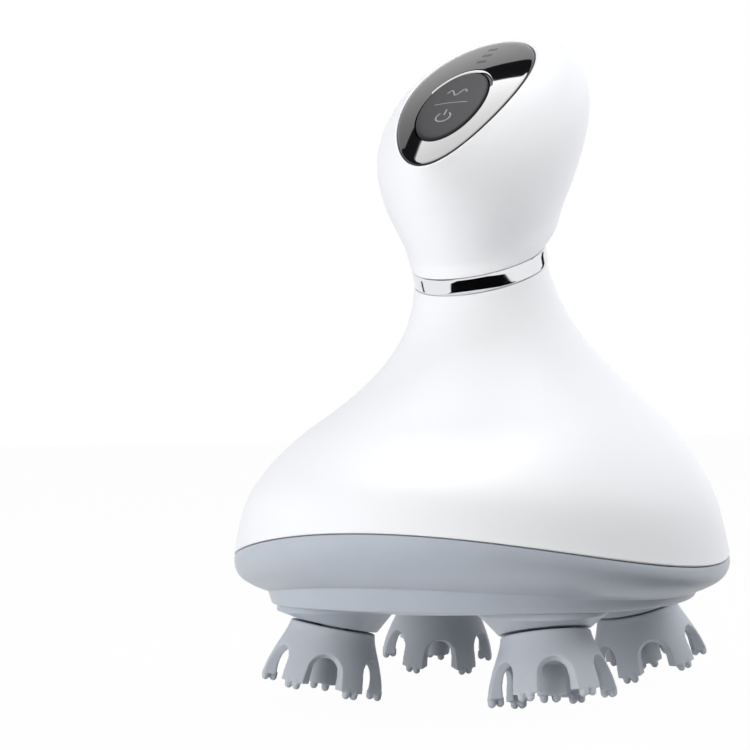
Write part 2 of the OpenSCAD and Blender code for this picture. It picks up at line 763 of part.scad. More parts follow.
module second_reduction_gear() {
    color(acetal) translate([second_place[0], second_place[1], 0]) {
        translate([0, 0, level_two]) spur(wheel_teeth, wheel_width, second_phase, axle_radius + 0.05);
        translate([0, 0, level_one - 0.6])
            spur(small_teeth, level_two - level_one + 0.6, second_phase, axle_radius + 0.05);
    }
}

module reduction_axles() {
    color(steel) for (place = [first_place, second_place])
        translate([place[0], place[1], plate_z + 0.4]) cylinder(h = 17.4, r = axle_radius, $fn = 24);
}

module motor_pinion() {
    color(steel) {
        translate([0, 0, level_three]) spur(pinion_teeth, 3.4, pinion_phase, 0.9);
        translate([0, 0, level_three]) cylinder(h = 8, r = 0.9, $fn = 24);
    }
}

bracket_z = 54.6;
bracket_posts = [[-22, 12], [22, 12], [-13.8, -8.6], [13.8, -8.6]];

module gear_plate() {
    color("#d9dbde") difference() {
        union() {
            translate([0, 0, plate_z]) {
                cylinder(h = plate_thickness, r = 33, $fn = 96);
                for (turn = [0, 90, 180, 270]) rotate(turn) translate([32, -3.7, 0]) cube([4, 7.4, plate_thickness]);
                for (turn = [0, 90, 180, 270]) rotate(turn) translate([plate_post_reach, 0, 0])
                    cylinder(h = plate_thickness, r = 3.7, $fn = 32);
            }
            translate([0, 0, plate_z - 1]) cylinder(h = 3.6, r = 6.4, $fn = 32);
            for (place = bracket_posts) translate([place[0], place[1], plate_z + 1])
                cylinder(h = 2.5, r = 2.6, $fn = 24);
            intersection() {
                for (i = [0 : 3]) at_head(i) translate([0, 0, upper_bush_foot]) cylinder(h = 8, r = 5.4, $fn = round_fn);
                cylinder(h = plate_z + plate_thickness, r = 60, $fn = 64);
            }
        }
        translate([0, 0, plate_z - 2]) cylinder(h = 10, r = bush_radius, $fn = round_fn);
        for (i = [0 : 3]) at_head(i) cylinder(h = upper_bush_top, r = 3.6, $fn = round_fn);
        for (turn = [0, 90, 180, 270]) rotate(turn)
            translate([plate_post_reach, 0, plate_z - 1]) cylinder(h = 5, r = 1.3, $fn = 24);
        for (place = bracket_posts) translate([place[0], place[1], plate_z - 1])
            cylinder(h = 6, r = 0.9, $fn = 24);
        for (place = [first_place, second_place]) translate([place[0], place[1], plate_z + 0.4])
            cylinder(h = 5, r = axle_radius + 0.02, $fn = 24);
    }
}

module plate_screws() {
    color(steel) for (turn = [0, 90, 180, 270]) rotate(turn)
        translate([plate_post_reach, 0, plate_z + plate_thickness]) mirror([0, 0, 1]) screw(2.1, 9, 2.1);
}

module motor_bracket() {
    color("#c4c8cd") difference() {
        union() {
            translate([0, 0, bracket_z]) {
                cylinder(h = 1.8, r = 12.2, $fn = 64);
                for (place = bracket_posts) translate([place[0], place[1], 0]) cylinder(h = 1.8, r = 3, $fn = 32);
                for (side = [-1, 1]) {
                    translate([side > 0 ? 8 : -22, 9, 0]) cube([14, 6, 1.8]);
                    translate([side > 0 ? 6 : -13.8, -11, 0]) cube([7.8, 5, 1.8]);
                }
                translate([-14, 6, 0]) cube([28, 11, 1.8]);
            }
            for (place = bracket_posts) translate([place[0], place[1], plate_z + 3.5])
                cylinder(h = bracket_z - plate_z - 3, r = 2.4, $fn = 24);
        }
        translate([0, 0, bracket_z - 1]) cylinder(h = 5, r = 3.6, $fn = 32);
        for (place = bracket_posts) translate([place[0], place[1], plate_z])
            cylinder(h = 30, r = 1.1, $fn = 24);
        for (side = [-1, 1]) translate([side * 8, 0, bracket_z - 1]) cylinder(h = 5, r = 1.1, $fn = 24);
        for (place = [first_place, second_place]) translate([place[0], place[1], bracket_z - 1])
            cylinder(h = 5, r = axle_radius + 0.02, $fn = 24);
    }
}

module bracket_screws() {
    color(steel) {
        for (place = bracket_posts) translate([place[0], place[1], bracket_z + 1.8])
            mirror([0, 0, 1]) screw(1.7, 18, 1.9);
        for (side = [-1, 1]) translate([side * 8, 0, bracket_z]) screw(1.8, 4, 1.6);
    }
}

module motor() {
    color("#bfc3c8") translate([0, 0, bracket_z + 1.8]) difference() {
        union() {
            cylinder(h = motor_length, d = motor_diameter, $fn = 64);
            translate([0, 0, -1.8]) cylinder(h = 2, r = 3.5, $fn = 32);
            translate([0, 0, motor_length]) cylinder(h = 1.6, r = 4, $fn = 32);
            for (side = [-1, 1]) translate([side * 8 - 0.4, -1.5, motor_length - 0.5]) cube([0.8, 3, 3.5]);
        }
        for (side = [-1, 1]) translate([side * 8, 0, -1]) cylinder(h = 4, d = 1.9, $fn = 24);
        translate([0, 0, -3]) cylinder(h = 6, r = 1, $fn = 24);
    }
}

// ---------------------------------------------------------------- power
cell_y = -22.6;
cell_z = plate_z + plate_thickness + 1.2 + cell_diameter / 2;

module battery_cell() {
    color("#3f6fb5") translate([-cell_length / 2, cell_y, cell_z]) rotate([0, 90, 0]) {
        cylinder(h = cell_length, d = cell_diameter, $fn = 64);
        translate([0, 0, cell_length - 0.1]) cylinder(h = 1.1, r = 3.2, $fn = 32);
    }
}

module battery_cradle() {
    foot = plate_z + plate_thickness;
    color("#2f3136") difference() {
        translate([-cell_length / 2 - 3, cell_y - 10.6, foot]) cube([cell_length + 6, 20, 9]);
        translate([-cell_length / 2 - 1.2, cell_y, cell_z]) rotate([0, 90, 0])
            cylinder(h = cell_length + 2.4, d = cell_diameter + 0.1, $fn = 64);
        for (side = [-1, 1]) translate([side * 18 - 4, cell_y - 12, foot + 5]) cube([8, 24, 5]);
        for (place = bracket_posts) translate([place[0], place[1], foot - 1]) cylinder(h = 12, r = 3, $fn = 24);
    }
}

module main_board() {
    color(board_green) {
        translate([-22, 27, plate_z + plate_thickness]) cube([44, 1.6, 17]);
        translate([-16, 28.5, 46]) cube([12, 2.2, 6]);
        translate([4, 28.5, 44]) cube([8, 3, 8]);
        translate([-12, 25.2, 45]) cube([7, 1.9, 7]);
    }
}

// ---------------------------------------------------------------- wiring
wire_radius = 0.6;
board_front = 27 - wire_radius - slack;
board_back = 28.6 + wire_radius + slack;

function mirrored(points) = [for (p = points) [-p[0], p[1], p[2]]];

// The point of the panel's frame that the middle of the control board's plug ends on.
plug_end = [-13, -board_drop - 2.6 - wire_radius - slack];
plug_y = panel_y + plug_end[0] * cos(panel_tilt) - plug_end[1] * sin(panel_tilt);
plug_z = panel_z + plug_end[0] * sin(panel_tilt) + plug_end[1] * cos(panel_tilt);

motor_top = bracket_z + 1.8 + motor_length;
MOTOR_WIRE = [[9.1, 0, motor_top + 1.6], [9.6, 12.2, motor_top + 1.8], [10, 15.4, motor_top - 1],
              [10.4, 18, 72], [13, 25, 60], [13, board_front, 54.5]];
CELL_WIRE = [[cell_length / 2 + 2.7, cell_y, 50.8], [30.5, -17, 53], [31, 0, 52], [25, 20, 54],
             [19, board_front, 52]];
CHARGE_WIRE = [[6, 35, 27.7], [8, 36.4, 40], [14, 33.5, 44], [18.5, board_back, 46]];
PLUG_WIRE = [[0, board_front, 55], [0, 19, 66], [0, 16.4, 78], [0, 8, 89], [0, 3, 97],
             [0, -3, 107], [0, plug_y, plug_z]];

// A round cable through the given points, drawn with an eight-sided outline.
module wire(points) {
    path = fine_rows(points, 2);
    last = len(path) - 1;
    ring_solid([for (k = [0 : last])
        let (ahead = path[min(k + 1, last)] - path[max(k - 1, 0)],
             side = cross(ahead, [1, 0, 0]) / norm(cross(ahead, [1, 0, 0])),
             top = cross(side, ahead) / norm(ahead))
        [for (turn = [0 : 45 : 315])
            path[k] + wire_radius * (side * cos(turn) + top * sin(turn))]]);
}

module wiring() {
    color("#b3282d") for (path = [MOTOR_WIRE, CELL_WIRE, CHARGE_WIRE]) {
        wire(path);
        wire(mirrored(path));
    }
    color("#b3282d") for (side = [-1.6, 0, 1.6]) translate([side, 0, 0]) wire(PLUG_WIRE);
}

// ---------------------------------------------------------------- pieces that repeat on each head
module head_piece(part, i) {
    at_head(i) {
        if (part == "shaft") color(steel) head_shaft();
        if (part == "gear") color(acetal) head_gear();
        if (part == "hub") color("#8b9099") head_hub();
        if (part == "seal") color("#3a3c40") head_seal();
        if (part == "lower_bush") color(brass) translate([0, 0, 3.6]) tube(bush_radius - fit, shaft_radius + fit, 6);
        if (part == "upper_bush") color(brass) translate([0, 0, upper_bush_foot])
            tube(3.6 - fit, shaft_radius + fit, upper_bush_top - upper_bush_foot - 0.05);
        if (part == "claw") color(claw_grey) head_claw(finger_turn(i));
    }
}

bell_housing();
knob_housing();
trim_ring();
control_panel();
control_button();
panel_seal();
indicator_lenses();
control_board();
tact_switches();
board_screws();
neck_screws();
base_chassis();
base_gasket();
base_screws();
charging_contacts();
gear_plate();
plate_screws();
drive_bushes();
drive_shaft();
drive_gear();
output_wheel();
first_reduction_gear();
second_reduction_gear();
reduction_axles();
motor_pinion();
motor_bracket();
bracket_screws();
motor();
battery_cell();
battery_cradle();
main_board();
wiring();
head_piece("shaft", 0);  // front_left_shaft
head_piece("shaft", 1);  // front_right_shaft
head_piece("shaft", 2);  // back_left_shaft
head_piece("shaft", 3);  // back_right_shaft
head_piece("gear", 0);  // front_left_gear
head_piece("gear", 1);  // front_right_gear
head_piece("gear", 2);  // back_left_gear
head_piece("gear", 3);  // back_right_gear
head_piece("hub", 0);  // front_left_hub
head_piece("hub", 1);  // front_right_hub
head_piece("hub", 2);  // back_left_hub
head_piece("hub", 3);  // back_right_hub
head_piece("seal", 0);  // front_left_seal
head_piece("seal", 1);  // front_right_seal
head_piece("seal", 2);  // back_left_seal
head_piece("seal", 3);  // back_right_seal
head_piece("lower_bush", 0);  // front_left_lower_bush
head_piece("lower_bush", 1);  // front_right_lower_bush
head_piece("lower_bush", 2);  // back_left_lower_bush
head_piece("lower_bush", 3);  // back_right_lower_bush
head_piece("upper_bush", 0);  // front_left_upper_bush
head_piece("upper_bush", 1);  // front_right_upper_bush
head_piece("upper_bush", 2);  // back_left_upper_bush
head_piece("upper_bush", 3);  // back_right_upper_bush
head_piece("claw", 0);  // front_left_claw
head_piece("claw", 1);  // front_right_claw
head_piece("claw", 2);  // back_left_claw
head_piece("claw", 3);  // back_right_claw
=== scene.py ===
"""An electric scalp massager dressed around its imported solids.

The white shells, the black panel with its button, the grey base and the silicone claws get smooth
skins of their own. Every other node keeps its solid and gets a finish. All sizes in the classes
are millimetres in the row frame, and the meshes are metres.
"""
import logging
import math
from contextlib import contextmanager
from dataclasses import dataclass
from enum import Enum
from functools import partial
from typing import Any, Callable, Iterator, Sequence, Union

import bmesh
import bpy
from mathutils import Matrix, Vector


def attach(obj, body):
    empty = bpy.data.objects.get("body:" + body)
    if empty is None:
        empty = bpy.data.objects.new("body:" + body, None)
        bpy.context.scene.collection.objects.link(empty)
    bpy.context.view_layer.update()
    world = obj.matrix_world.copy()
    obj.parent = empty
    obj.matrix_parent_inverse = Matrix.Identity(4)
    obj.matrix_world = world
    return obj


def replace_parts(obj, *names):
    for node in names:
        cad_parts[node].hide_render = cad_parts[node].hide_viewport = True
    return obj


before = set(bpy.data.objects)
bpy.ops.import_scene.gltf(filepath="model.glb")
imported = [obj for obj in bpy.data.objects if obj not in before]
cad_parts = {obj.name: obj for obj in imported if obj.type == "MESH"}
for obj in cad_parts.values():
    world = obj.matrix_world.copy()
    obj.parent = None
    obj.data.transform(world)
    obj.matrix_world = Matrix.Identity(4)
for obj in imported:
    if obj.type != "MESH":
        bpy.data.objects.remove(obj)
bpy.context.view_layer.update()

LOG = logging.getLogger("scalp_massager")
MM = 0.001
RingShape = Callable[[float], Vector]
Place = tuple[float, float, float]
Colour = tuple[float, float, float]
Row = Sequence[float]
Table = tuple[tuple[float, ...], ...]


# ---------------------------------------------------------------- shader kit
class Signal:
    """A shader socket that takes part in Python arithmetic."""

    def __init__(self, shader: "Shader", socket: bpy.types.NodeSocket) -> None:
        """Wraps one output socket of a shader."""
        self.shader = shader
        self.socket = socket

    def _math(self, operation: str, first: "Value", second: "Value") -> "Signal":
        """Adds a Math node for two operands."""
        return self.shader.node("ShaderNodeMath", {"operation": operation}, {0: first, 1: second})

    def __add__(self, other: "Value") -> "Signal":
        """This signal plus another value."""
        return self._math("ADD", self, other)

    __radd__ = __add__

    def __sub__(self, other: "Value") -> "Signal":
        """This signal minus another value."""
        return self._math("SUBTRACT", self, other)

    def __rsub__(self, other: "Value") -> "Signal":
        """Another value minus this signal."""
        return self._math("SUBTRACT", other, self)

    def __mul__(self, other: "Value") -> "Signal":
        """This signal times another value."""
        return self._math("MULTIPLY", self, other)

    __rmul__ = __mul__

    def __or__(self, other: "Value") -> "Signal":
        """The larger of this signal and another value, which joins two masks."""
        return self._math("MAXIMUM", self, other)

    __ror__ = __or__


Value = Union[Signal, float, int, Sequence[float]]


class Shader:
    """The node tree of a material or of the world, made with a single node-making method."""

    def __init__(
        self,
        owner: Union[bpy.types.Material, bpy.types.World],
        surface: str = "Principled BSDF",
    ) -> None:
        """Turns the nodes on.

        Args:
            owner: The new material or world.
            surface: The node that shades it.
        """
        owner.use_nodes = True
        self.owner = owner
        self.tree = owner.node_tree
        self.surface = self.tree.nodes[surface]

    def feed(self, socket: bpy.types.NodeSocket, value: Value) -> None:
        """Links a signal to a socket, or sets the socket's own value.

        Args:
            socket: The input that is fed.
            value: A signal, a number, a vector, or a colour without its alpha.
        """
        if isinstance(value, Signal):
            self.tree.links.new(value.socket, socket)
        elif socket.type == "RGBA":
            socket.default_value = (*value, 1.0)
        else:
            socket.default_value = value

    def node(
        self,
        kind: str,
        settings: dict[str, Any] | None = None,
        inputs: dict[Union[int, str], Value] | None = None,
        output: Union[int, str] = 0,
    ) -> Signal:
        """Adds a node.

        Args:
            kind: The node's type.
            settings: Properties that are set first, such as a Math node's operation.
            inputs: Values or links by socket name or number.
            output: The output that is handed back.

        Returns:
            The chosen output as a signal.
        """
        made = self.tree.nodes.new(kind)
        for name, value in (settings or {}).items():
            setattr(made, name, value)
        for name, value in (inputs or {}).items():
            self.feed(made.inputs[name], value)
        return Signal(self, made.outputs[output])

    def set(self, **values: Value) -> None:
        """Feeds the surface node, with underscores for the spaces in its socket names."""
        for name, value in values.items():
            self.feed(self.surface.inputs[name.replace("_", " ")], value)

    def position(self, scale: Place = (1.0, 1.0, 1.0), turn: Place = (0.0, 0.0, 0.0)) -> Signal:
        """The object coordinates, turned and scaled by a Mapping node."""
        place = self.node("ShaderNodeTexCoord", output="Object")
        return self.node(
            "ShaderNodeMapping", inputs={"Vector": place, "Scale": scale, "Rotation": turn})

    def noise(self, size: float, detail: float = 2.0, vector: Signal | None = None) -> Signal:
        """Noise whose features are about the given size, in millimetres."""
        return self.node("ShaderNodeTexNoise", inputs={
            "Vector": vector or self.position(), "Scale": 1 / (size * MM), "Detail": detail})

    def mix(self, share: Value, first: Value, second: Value) -> Signal:
        """A colour between two colours."""
        return self.node(
            "ShaderNodeMix", {"data_type": "RGBA"}, {0: share, 6: first, 7: second}, output=2)

    def bump(self, height: Signal, depth: float) -> None:
        """Feeds the surface's normal with a height, its depth in millimetres."""
        self.set(Normal=self.node("ShaderNodeBump", inputs={
            "Height": height, "Distance": depth * MM, "Strength": 1.0}))

    def direct_rays(self) -> Signal:
        """One for rays of the camera, of reflections and through glass, which show backdrops."""
        camera, glossy, clear = (
            self.node("ShaderNodeLightPath", output=name)
            for name in ("Is Camera Ray", "Is Glossy Ray", "Is Transmission Ray"))
        return camera | glossy | clear


# ---------------------------------------------------------------- finishes
@dataclass(frozen=True)
class Finish:
    """A moulded or cast finish: a colour that wanders a little, with a fine grain.

    The sizes of its grain, patches and subsurface scatter are millimetres.
    """

    name: str
    colour: Colour
    roughness: float
    metallic: float = 0.0
    coat: float = 0.0
    coat_roughness: float = 0.05
    specular: float = 0.5
    subsurface: float = 0.0
    subsurface_reach: Place = (1.0, 0.9, 0.85)
    subsurface_depth: float = 0.9
    grain: float = 0.35
    grain_detail: float = 3.0
    grain_depth: float = 0.01
    patch: float = 9.0
    patch_detail: float = 3.0
    patch_share: float = 0.04
    roughness_spread: float = 0.06

    def shade(self, factor: float) -> Colour:
        """The finish's colour times a factor."""
        return tuple(channel * factor for channel in self.colour)

    def tint(self, shader: Shader) -> Value:
        """The base colour, wandering by patch_share to each side between soft patches."""
        patches = shader.noise(self.patch, self.patch_detail)
        return shader.mix(patches, self.colour, self.shade(1 - 2 * self.patch_share))

    def relief(self, shader: Shader) -> Signal:
        """The height that the fine grain bumps the surface with."""
        return shader.noise(self.grain, self.grain_detail)

    def build(self) -> bpy.types.Material:
        """Makes the material, or finds the one that is already made.

        Returns:
            The finish's one material.
        """
        name = f"look_{self.name}"
        made = bpy.data.materials.get(name)
        if made:
            return made
        shader = Shader(bpy.data.materials.new(name))
        grain = self.relief(shader)
        shader.set(
            Base_Color=self.tint(shader),
            Roughness=self.roughness + (grain - 0.5) * self.roughness_spread,
            Metallic=self.metallic,
            Coat_Weight=self.coat,
            Coat_Roughness=self.coat_roughness,
            Specular_IOR_Level=self.specular,
            Subsurface_Weight=self.subsurface,
        )
        if self.subsurface:
            shader.set(Subsurface_Radius=self.subsurface_reach,
                       Subsurface_Scale=self.subsurface_depth * MM)
        if self.grain_depth:
            shader.bump(grain, self.grain_depth)
        return shader.owner


@dataclass(frozen=True)
class Pearl(Finish):
    """White satin lacquer with fine pearl flakes in it, and painted shade that darkens it towards
    grazing angles.
    """

    flake: float = 0.16
    flake_colour: Colour = (0.8, 0.81, 0.85)
    # Painted edge shade: the facing's blend, how much of the tint is used, and the darker, bluer
    # tint.
    edge_shade_blend: float = 0.35
    edge_shade_share: float = 0.8
    edge_shade_cast: Colour = (0.93, 0.94, 0.975)

    def tint(self, shader: Shader) -> Value:
        """White with painted edge shade, darker and bluer at grazing angles, and faint flakes.

        Args:
            shader: The shader that gets the nodes.

        Returns:
            The base colour.
        """
        flakes = shader.node("ShaderNodeTexVoronoi", output="Color", inputs={
            "Vector": shader.position(), "Scale": 1 / (self.flake * MM)})
        bright = shader.node("ShaderNodeSeparateColor", inputs={"Color": flakes})
        # Painted shade: Layer Weight's facing tints the base colour darker and bluer at grazing
        # angles.
        edge = shader.node(
            "ShaderNodeLayerWeight", inputs={"Blend": self.edge_shade_blend}, output="Facing")
        edge_shade_colour = tuple(channel * cast for channel, cast in zip(self.colour, self.edge_shade_cast))
        plain = shader.mix(edge * self.edge_shade_share, self.colour, edge_shade_colour)
        return shader.mix(bright * self.patch_share, plain, self.flake_colour)


@dataclass(frozen=True)
class Brushed(Finish):
    """Metal with fine marks along one direction."""

    stretch: Place = (1.0, 1.0, 14.0)
    grain_detail: float = 4.0

    def relief(self, shader: Shader) -> Signal:
        """Noise drawn out along the marks."""
        return shader.noise(self.grain, self.grain_detail, shader.position(self.stretch))


@dataclass(frozen=True)
class Board(Finish):
    """A circuit board: dark solder mask over straight copper tracks."""

    cell: float = 1.7
    cell_turn: Place = (0.6, 0.0, 0.0)
    track_width: float = 0.07
    track_shade: float = 2.2
    dark_cell_shade: float = 0.8

    def tint(self, shader: Shader) -> Value:
        """Long cells of dark mask in two shades, with lighter tracks between them."""
        return shader.node("ShaderNodeTexBrick", inputs={
            "Vector": shader.position(turn=self.cell_turn),
            "Scale": 1 / (self.cell * MM),
            "Mortar Size": self.track_width,
            "Color1": self.colour,
            "Color2": self.shade(self.dark_cell_shade),
            "Mortar": self.shade(self.track_shade),
        })


class Coat(Enum):
    """Every finish on the massager."""

    SHELL = Pearl("pearl_shell", (0.88, 0.885, 0.9), 0.55, coat=0.12, coat_roughness=0.35,
                  specular=0.35, grain=0.7, grain_depth=0.004, patch_share=0.05,
                  roughness_spread=0.05)
    BASE = Finish("grey_base", (0.46, 0.5, 0.56), 0.42, coat=0.15, coat_roughness=0.3,
                  grain=0.3, grain_depth=0.006)
    CLAW = Finish("claw_silicone", (0.5, 0.53, 0.58), 0.5, subsurface=0.15, grain=0.25,
                  grain_depth=0.008, patch=5.0, patch_share=0.03)
    CHROME = Brushed("trim_chrome", (0.82, 0.83, 0.85), 0.07, metallic=1.0, grain=0.5,
                     grain_depth=0.001, patch_share=0.02, roughness_spread=0.03)
    PANEL = Finish("panel_black", (0.008, 0.008, 0.01), 0.04, coat=0.42, coat_roughness=0.01,
                   specular=0.45, grain=1.5, grain_depth=0.0, roughness_spread=0.02)
    BUTTON = Finish("button_dark", (0.022, 0.022, 0.026), 0.5, specular=0.12,
                    grain=0.16, grain_depth=0.006)
    SIGN = Finish("sign_print", (0.17, 0.175, 0.185), 0.5, grain=0.2, grain_depth=0.003)
    WINDOW = Finish("lens_window", (0.004, 0.004, 0.006), 0.15, specular=0.3,
                    grain=0.2, grain_depth=0.0)
    LENS = Finish("lens_clear", (0.16, 0.165, 0.175), 0.2, grain=0.4, grain_depth=0.002)
    GASKET = Finish("gasket_grey", (0.42, 0.44, 0.49), 0.6, grain=0.2, grain_depth=0.008)
    SEAL = Finish("seal_rubber", (0.035, 0.036, 0.04), 0.6, grain=0.2, grain_depth=0.01)
    BOARD = Board("circuit_board", (0.007, 0.011, 0.011), 0.35, coat=0.4, coat_roughness=0.1,
                  grain=0.5, grain_depth=0.01)
    SWITCH = Finish("moulded_black", (0.03, 0.03, 0.034), 0.45, grain=0.25, grain_depth=0.01)
    STEEL = Brushed("plated_steel", (0.6, 0.61, 0.63), 0.28, metallic=1.0, grain=0.3,
                    grain_depth=0.003)
    BRASS = Brushed("bush_brass", (0.62, 0.44, 0.2), 0.35, metallic=1.0, grain=0.25,
                    grain_depth=0.004)
    GOLD = Brushed("contact_gold", (0.83, 0.64, 0.3), 0.22, metallic=1.0, grain=0.3,
                   grain_depth=0.002)
    PLATE = Finish("plate_grey", (0.62, 0.63, 0.65), 0.5, grain=0.4, grain_depth=0.01)
    GEAR = Finish("gear_acetal", (0.8, 0.78, 0.7), 0.38, subsurface=0.1, grain=0.3,
                  grain_depth=0.006)
    CAN = Brushed("motor_can", (0.66, 0.67, 0.69), 0.3, metallic=1.0, grain=0.35,
                  grain_depth=0.003)
    CELL = Finish("cell_wrap", (0.05, 0.16, 0.42), 0.3, coat=0.5, grain=0.8, grain_depth=0.004)
    WIRE = Finish("wire_red", (0.42, 0.02, 0.025), 0.45, grain=0.3, grain_depth=0.004)
    CARD = Finish("card_black", (0.003, 0.003, 0.003), 0.9, specular=0.0, grain=3.0)
    HUB = Finish("hub_grey", (0.2, 0.215, 0.24), 0.45, grain=0.3, grain_depth=0.006)

    def dress(self, piece: bpy.types.Object) -> None:
        """Puts this finish on a piece, in place of what it has."""
        piece.data.materials.clear()
        piece.data.materials.append(self.value.build())


Coats = tuple[tuple[Coat, str], ...]


def dress_nodes(coats: Coats, prefix: str = "") -> list[bpy.types.Object]:
    """Gives nodes that keep their solids a finish.

    Args:
        coats: Finishes, each with the names of its nodes.
        prefix: What every node's name starts with.

    Returns:
        The dressed nodes.
    """
    dressed = []
    for coat, names in coats:
        for name in names.split():
            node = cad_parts[prefix + name]
            coat.dress(node)
            dressed.append(node)
    return dressed


# ---------------------------------------------------------------- mesh kit
# Points closer than MERGED millimetres become one. Edges that turn by more than the other
# three, in degrees, stay crisp on plain skins, on cut ones and on glossy ones.
MERGED = 1e-4
CRISP_SKIN = 32.0
CRISP_CUT = 25.0
CRISP_GLOSS = 50.0


def crisp(work: bmesh.types.BMesh, sharp: float) -> None:
    """Shades a mesh smooth, apart from its sharp edges.

    Args:
        work: The mesh.
        sharp: Edges that turn by more than this, in degrees, stay crisp.
    """
    limit = math.radians(sharp)
    for face in work.faces:
        face.smooth = True
    for edge in work.edges:
        edge.smooth = len(edge.link_faces) == 2 and edge.calc_face_angle(0.0) < limit


def to_piece(
    work: bmesh.types.BMesh,
    name: str,
    stand: Matrix | None = None,
    sharp: float = CRISP_SKIN,
) -> bpy.types.Object:
    """Turns a finished bmesh in millimetres into an object in metres.

    Args:
        work: The mesh, which is freed.
        name: The piece's name.
        stand: The frame that the mesh was made in, where it isn't the row's.
        sharp: Edges that turn by more than this, in degrees, stay crisp.

    Returns:
        The new object at the origin.
    """
    if stand:
        bmesh.ops.transform(work, matrix=stand, verts=work.verts)
    bmesh.ops.scale(work, vec=(MM, MM, MM), verts=work.verts)
    crisp(work, sharp)
    mesh = bpy.data.meshes.new(name)
    work.to_mesh(mesh)
    work.free()
    piece = bpy.data.objects.new(name, mesh)
    bpy.context.scene.collection.objects.link(piece)
    return piece


def loft(rings: Sequence[RingShape], steps: int, closed: bool) -> bmesh.types.BMesh:
    """Extrudes a circle of edges from ring to ring.

    Args:
        rings: Each gives the point of one ring at a turn in radians, in millimetres.
        steps: Points on each ring.
        closed: True joins the last ring to the first; False closes both ends at a pole.

    Returns:
        The closed mesh with its faces outward.
    """
    work = bmesh.new()
    turn_of = work.verts.layers.float.new("turn")
    bmesh.ops.create_circle(work, segments=steps, radius=1.0)
    for vert in work.verts:
        vert[turn_of] = math.atan2(vert.co.y, vert.co.x)
        vert.co = rings[0](vert[turn_of])
    first = list(work.edges)
    last = first
    for ring in rings[1:]:
        grown = bmesh.ops.extrude_edge_only(work, edges=last)["geom"]
        for item in grown:
            if isinstance(item, bmesh.types.BMVert):
                item.co = ring(item[turn_of])
        last = [item for item in grown if isinstance(item, bmesh.types.BMEdge)
                and all(end in grown for end in item.verts) and len(item.link_faces) == 1]
    if closed:
        bmesh.ops.bridge_loops(work, edges=first + last)
    else:
        for edges in (first, last):
            verts = list({vert for edge in edges for vert in edge.verts})
            middle = sum((vert.co for vert in verts), Vector()) / len(verts)
            bmesh.ops.pointmerge(work, verts=verts, merge_co=middle)
    work.verts.layers.float.remove(turn_of)
    bmesh.ops.recalc_face_normals(work, faces=work.faces)
    return work


def turned(profile: Sequence[Row], steps: int = 96) -> bmesh.types.BMesh:
    """Spins a profile of (radius, height) points about the Z axis into a closed solid.

    Args:
        profile: The outline, closed on itself or ending on the axis at both ends.
        steps: Faces round the axis.

    Returns:
        The mesh with its faces outward.
    """
    work = bmesh.new()
    points = [work.verts.new((radius, 0, height)) for radius, height in profile]
    edges = [work.edges.new(pair) for pair in zip(points, points[1:])]
    if profile[0][0] > 0:
        edges.append(work.edges.new((points[-1], points[0])))
    bmesh.ops.spin(work, geom=points + edges, axis=(0, 0, 1), cent=(0, 0, 0),
                   angle=math.tau, steps=steps, use_merge=True)
    bmesh.ops.remove_doubles(work, verts=work.verts, dist=MERGED)
    bmesh.ops.recalc_face_normals(work, faces=work.faces)
    return work


def bake(piece: bpy.types.Object) -> None:
    """Applies a piece's modifiers to its mesh.

    Args:
        piece: The piece, which keeps its place.
    """
    graph = bpy.context.evaluated_depsgraph_get()
    graph.update()
    mesh = bpy.data.meshes.new_from_object(piece.evaluated_get(graph))
    piece.modifiers.clear()
    piece.data = mesh


@contextmanager
def reworked(piece: bpy.types.Object) -> Iterator[bmesh.types.BMesh]:
    """Hands out a piece's mesh as a bmesh and writes it back afterwards.

    Args:
        piece: The piece whose mesh is worked on.

    Yields:
        The mesh in metres.
    """
    work = bmesh.new()
    work.from_mesh(piece.data)
    yield work
    work.to_mesh(piece.data)
    work.free()


def combine(target: bpy.types.Object, tools: list[bpy.types.Object], operation: str) -> None:
    """Joins or cuts a piece with others by exact booleans.

    Args:
        target: The piece that changes.
        tools: The others, which are removed.
        operation: UNION or DIFFERENCE.
    """
    for tool in tools:
        change = target.modifiers.new(tool.name, "BOOLEAN")
        change.operation = operation
        change.solver = "EXACT"
        change.object = tool
    bake(target)
    with reworked(target) as work:
        crisp(work, CRISP_CUT)
    for tool in tools:
        bpy.data.objects.remove(tool)


def smooth_rows(rows: Sequence[Row], steps: int) -> list[Row]:
    """Draws smooth Catmull-Rom rows through a table.

    Args:
        rows: The table.
        steps: New rows from each of its rows to the next.

    Returns:
        The longer table, which holds the given rows too.
    """
    last = len(rows) - 1
    made = []
    for count in range(last * steps + 1):
        index = min(count // steps, last - 1)
        t = count / steps - index
        p0, p1 = rows[max(index - 1, 0)], rows[index]
        p2, p3 = rows[index + 1], rows[min(index + 2, last)]
        made.append([
            0.5 * (2 * b + (c - a) * t + (2 * a - 5 * b + 4 * c - d) * t * t
                   + (3 * b - a - 3 * c + d) * t ** 3)
            for a, b, c, d in zip(p0, p1, p2, p3)])
    return made


def raised(row: Row, lift: float) -> Row:
    """An oval's row, moved up."""
    return [row[0], row[1] + lift, *row[2:]]


def oval_point(row: Row, egg: float, inset: float, turn: float) -> Vector:
    """Finds a point of a tilted and waved oval.

    Args:
        row: The oval's (y, z, tilt in degrees, half width, half length, wave).
        egg: How much narrower it is at the back, as a share.
        inset: How far inside it the point lies.
        turn: The turn round it in radians.

    Returns:
        The point in millimetres.
    """
    y, z, tilt, half_width, half_length, wave = row
    lean = math.radians(tilt)
    along = (half_length - inset) * math.sin(turn)
    drop = wave * math.cos(2 * turn)
    return Vector(((half_width - inset) * math.cos(turn) * (1 - egg * math.sin(turn)),
                   y + along * math.cos(lean) + drop * math.sin(lean),
                   z + along * math.sin(lean) - drop * math.cos(lean)))


def oval_ring(row: Row, egg: float, inset: float = 0.0) -> RingShape:
    """A ring of a loft from an oval's row."""
    return partial(oval_point, row, egg, inset)


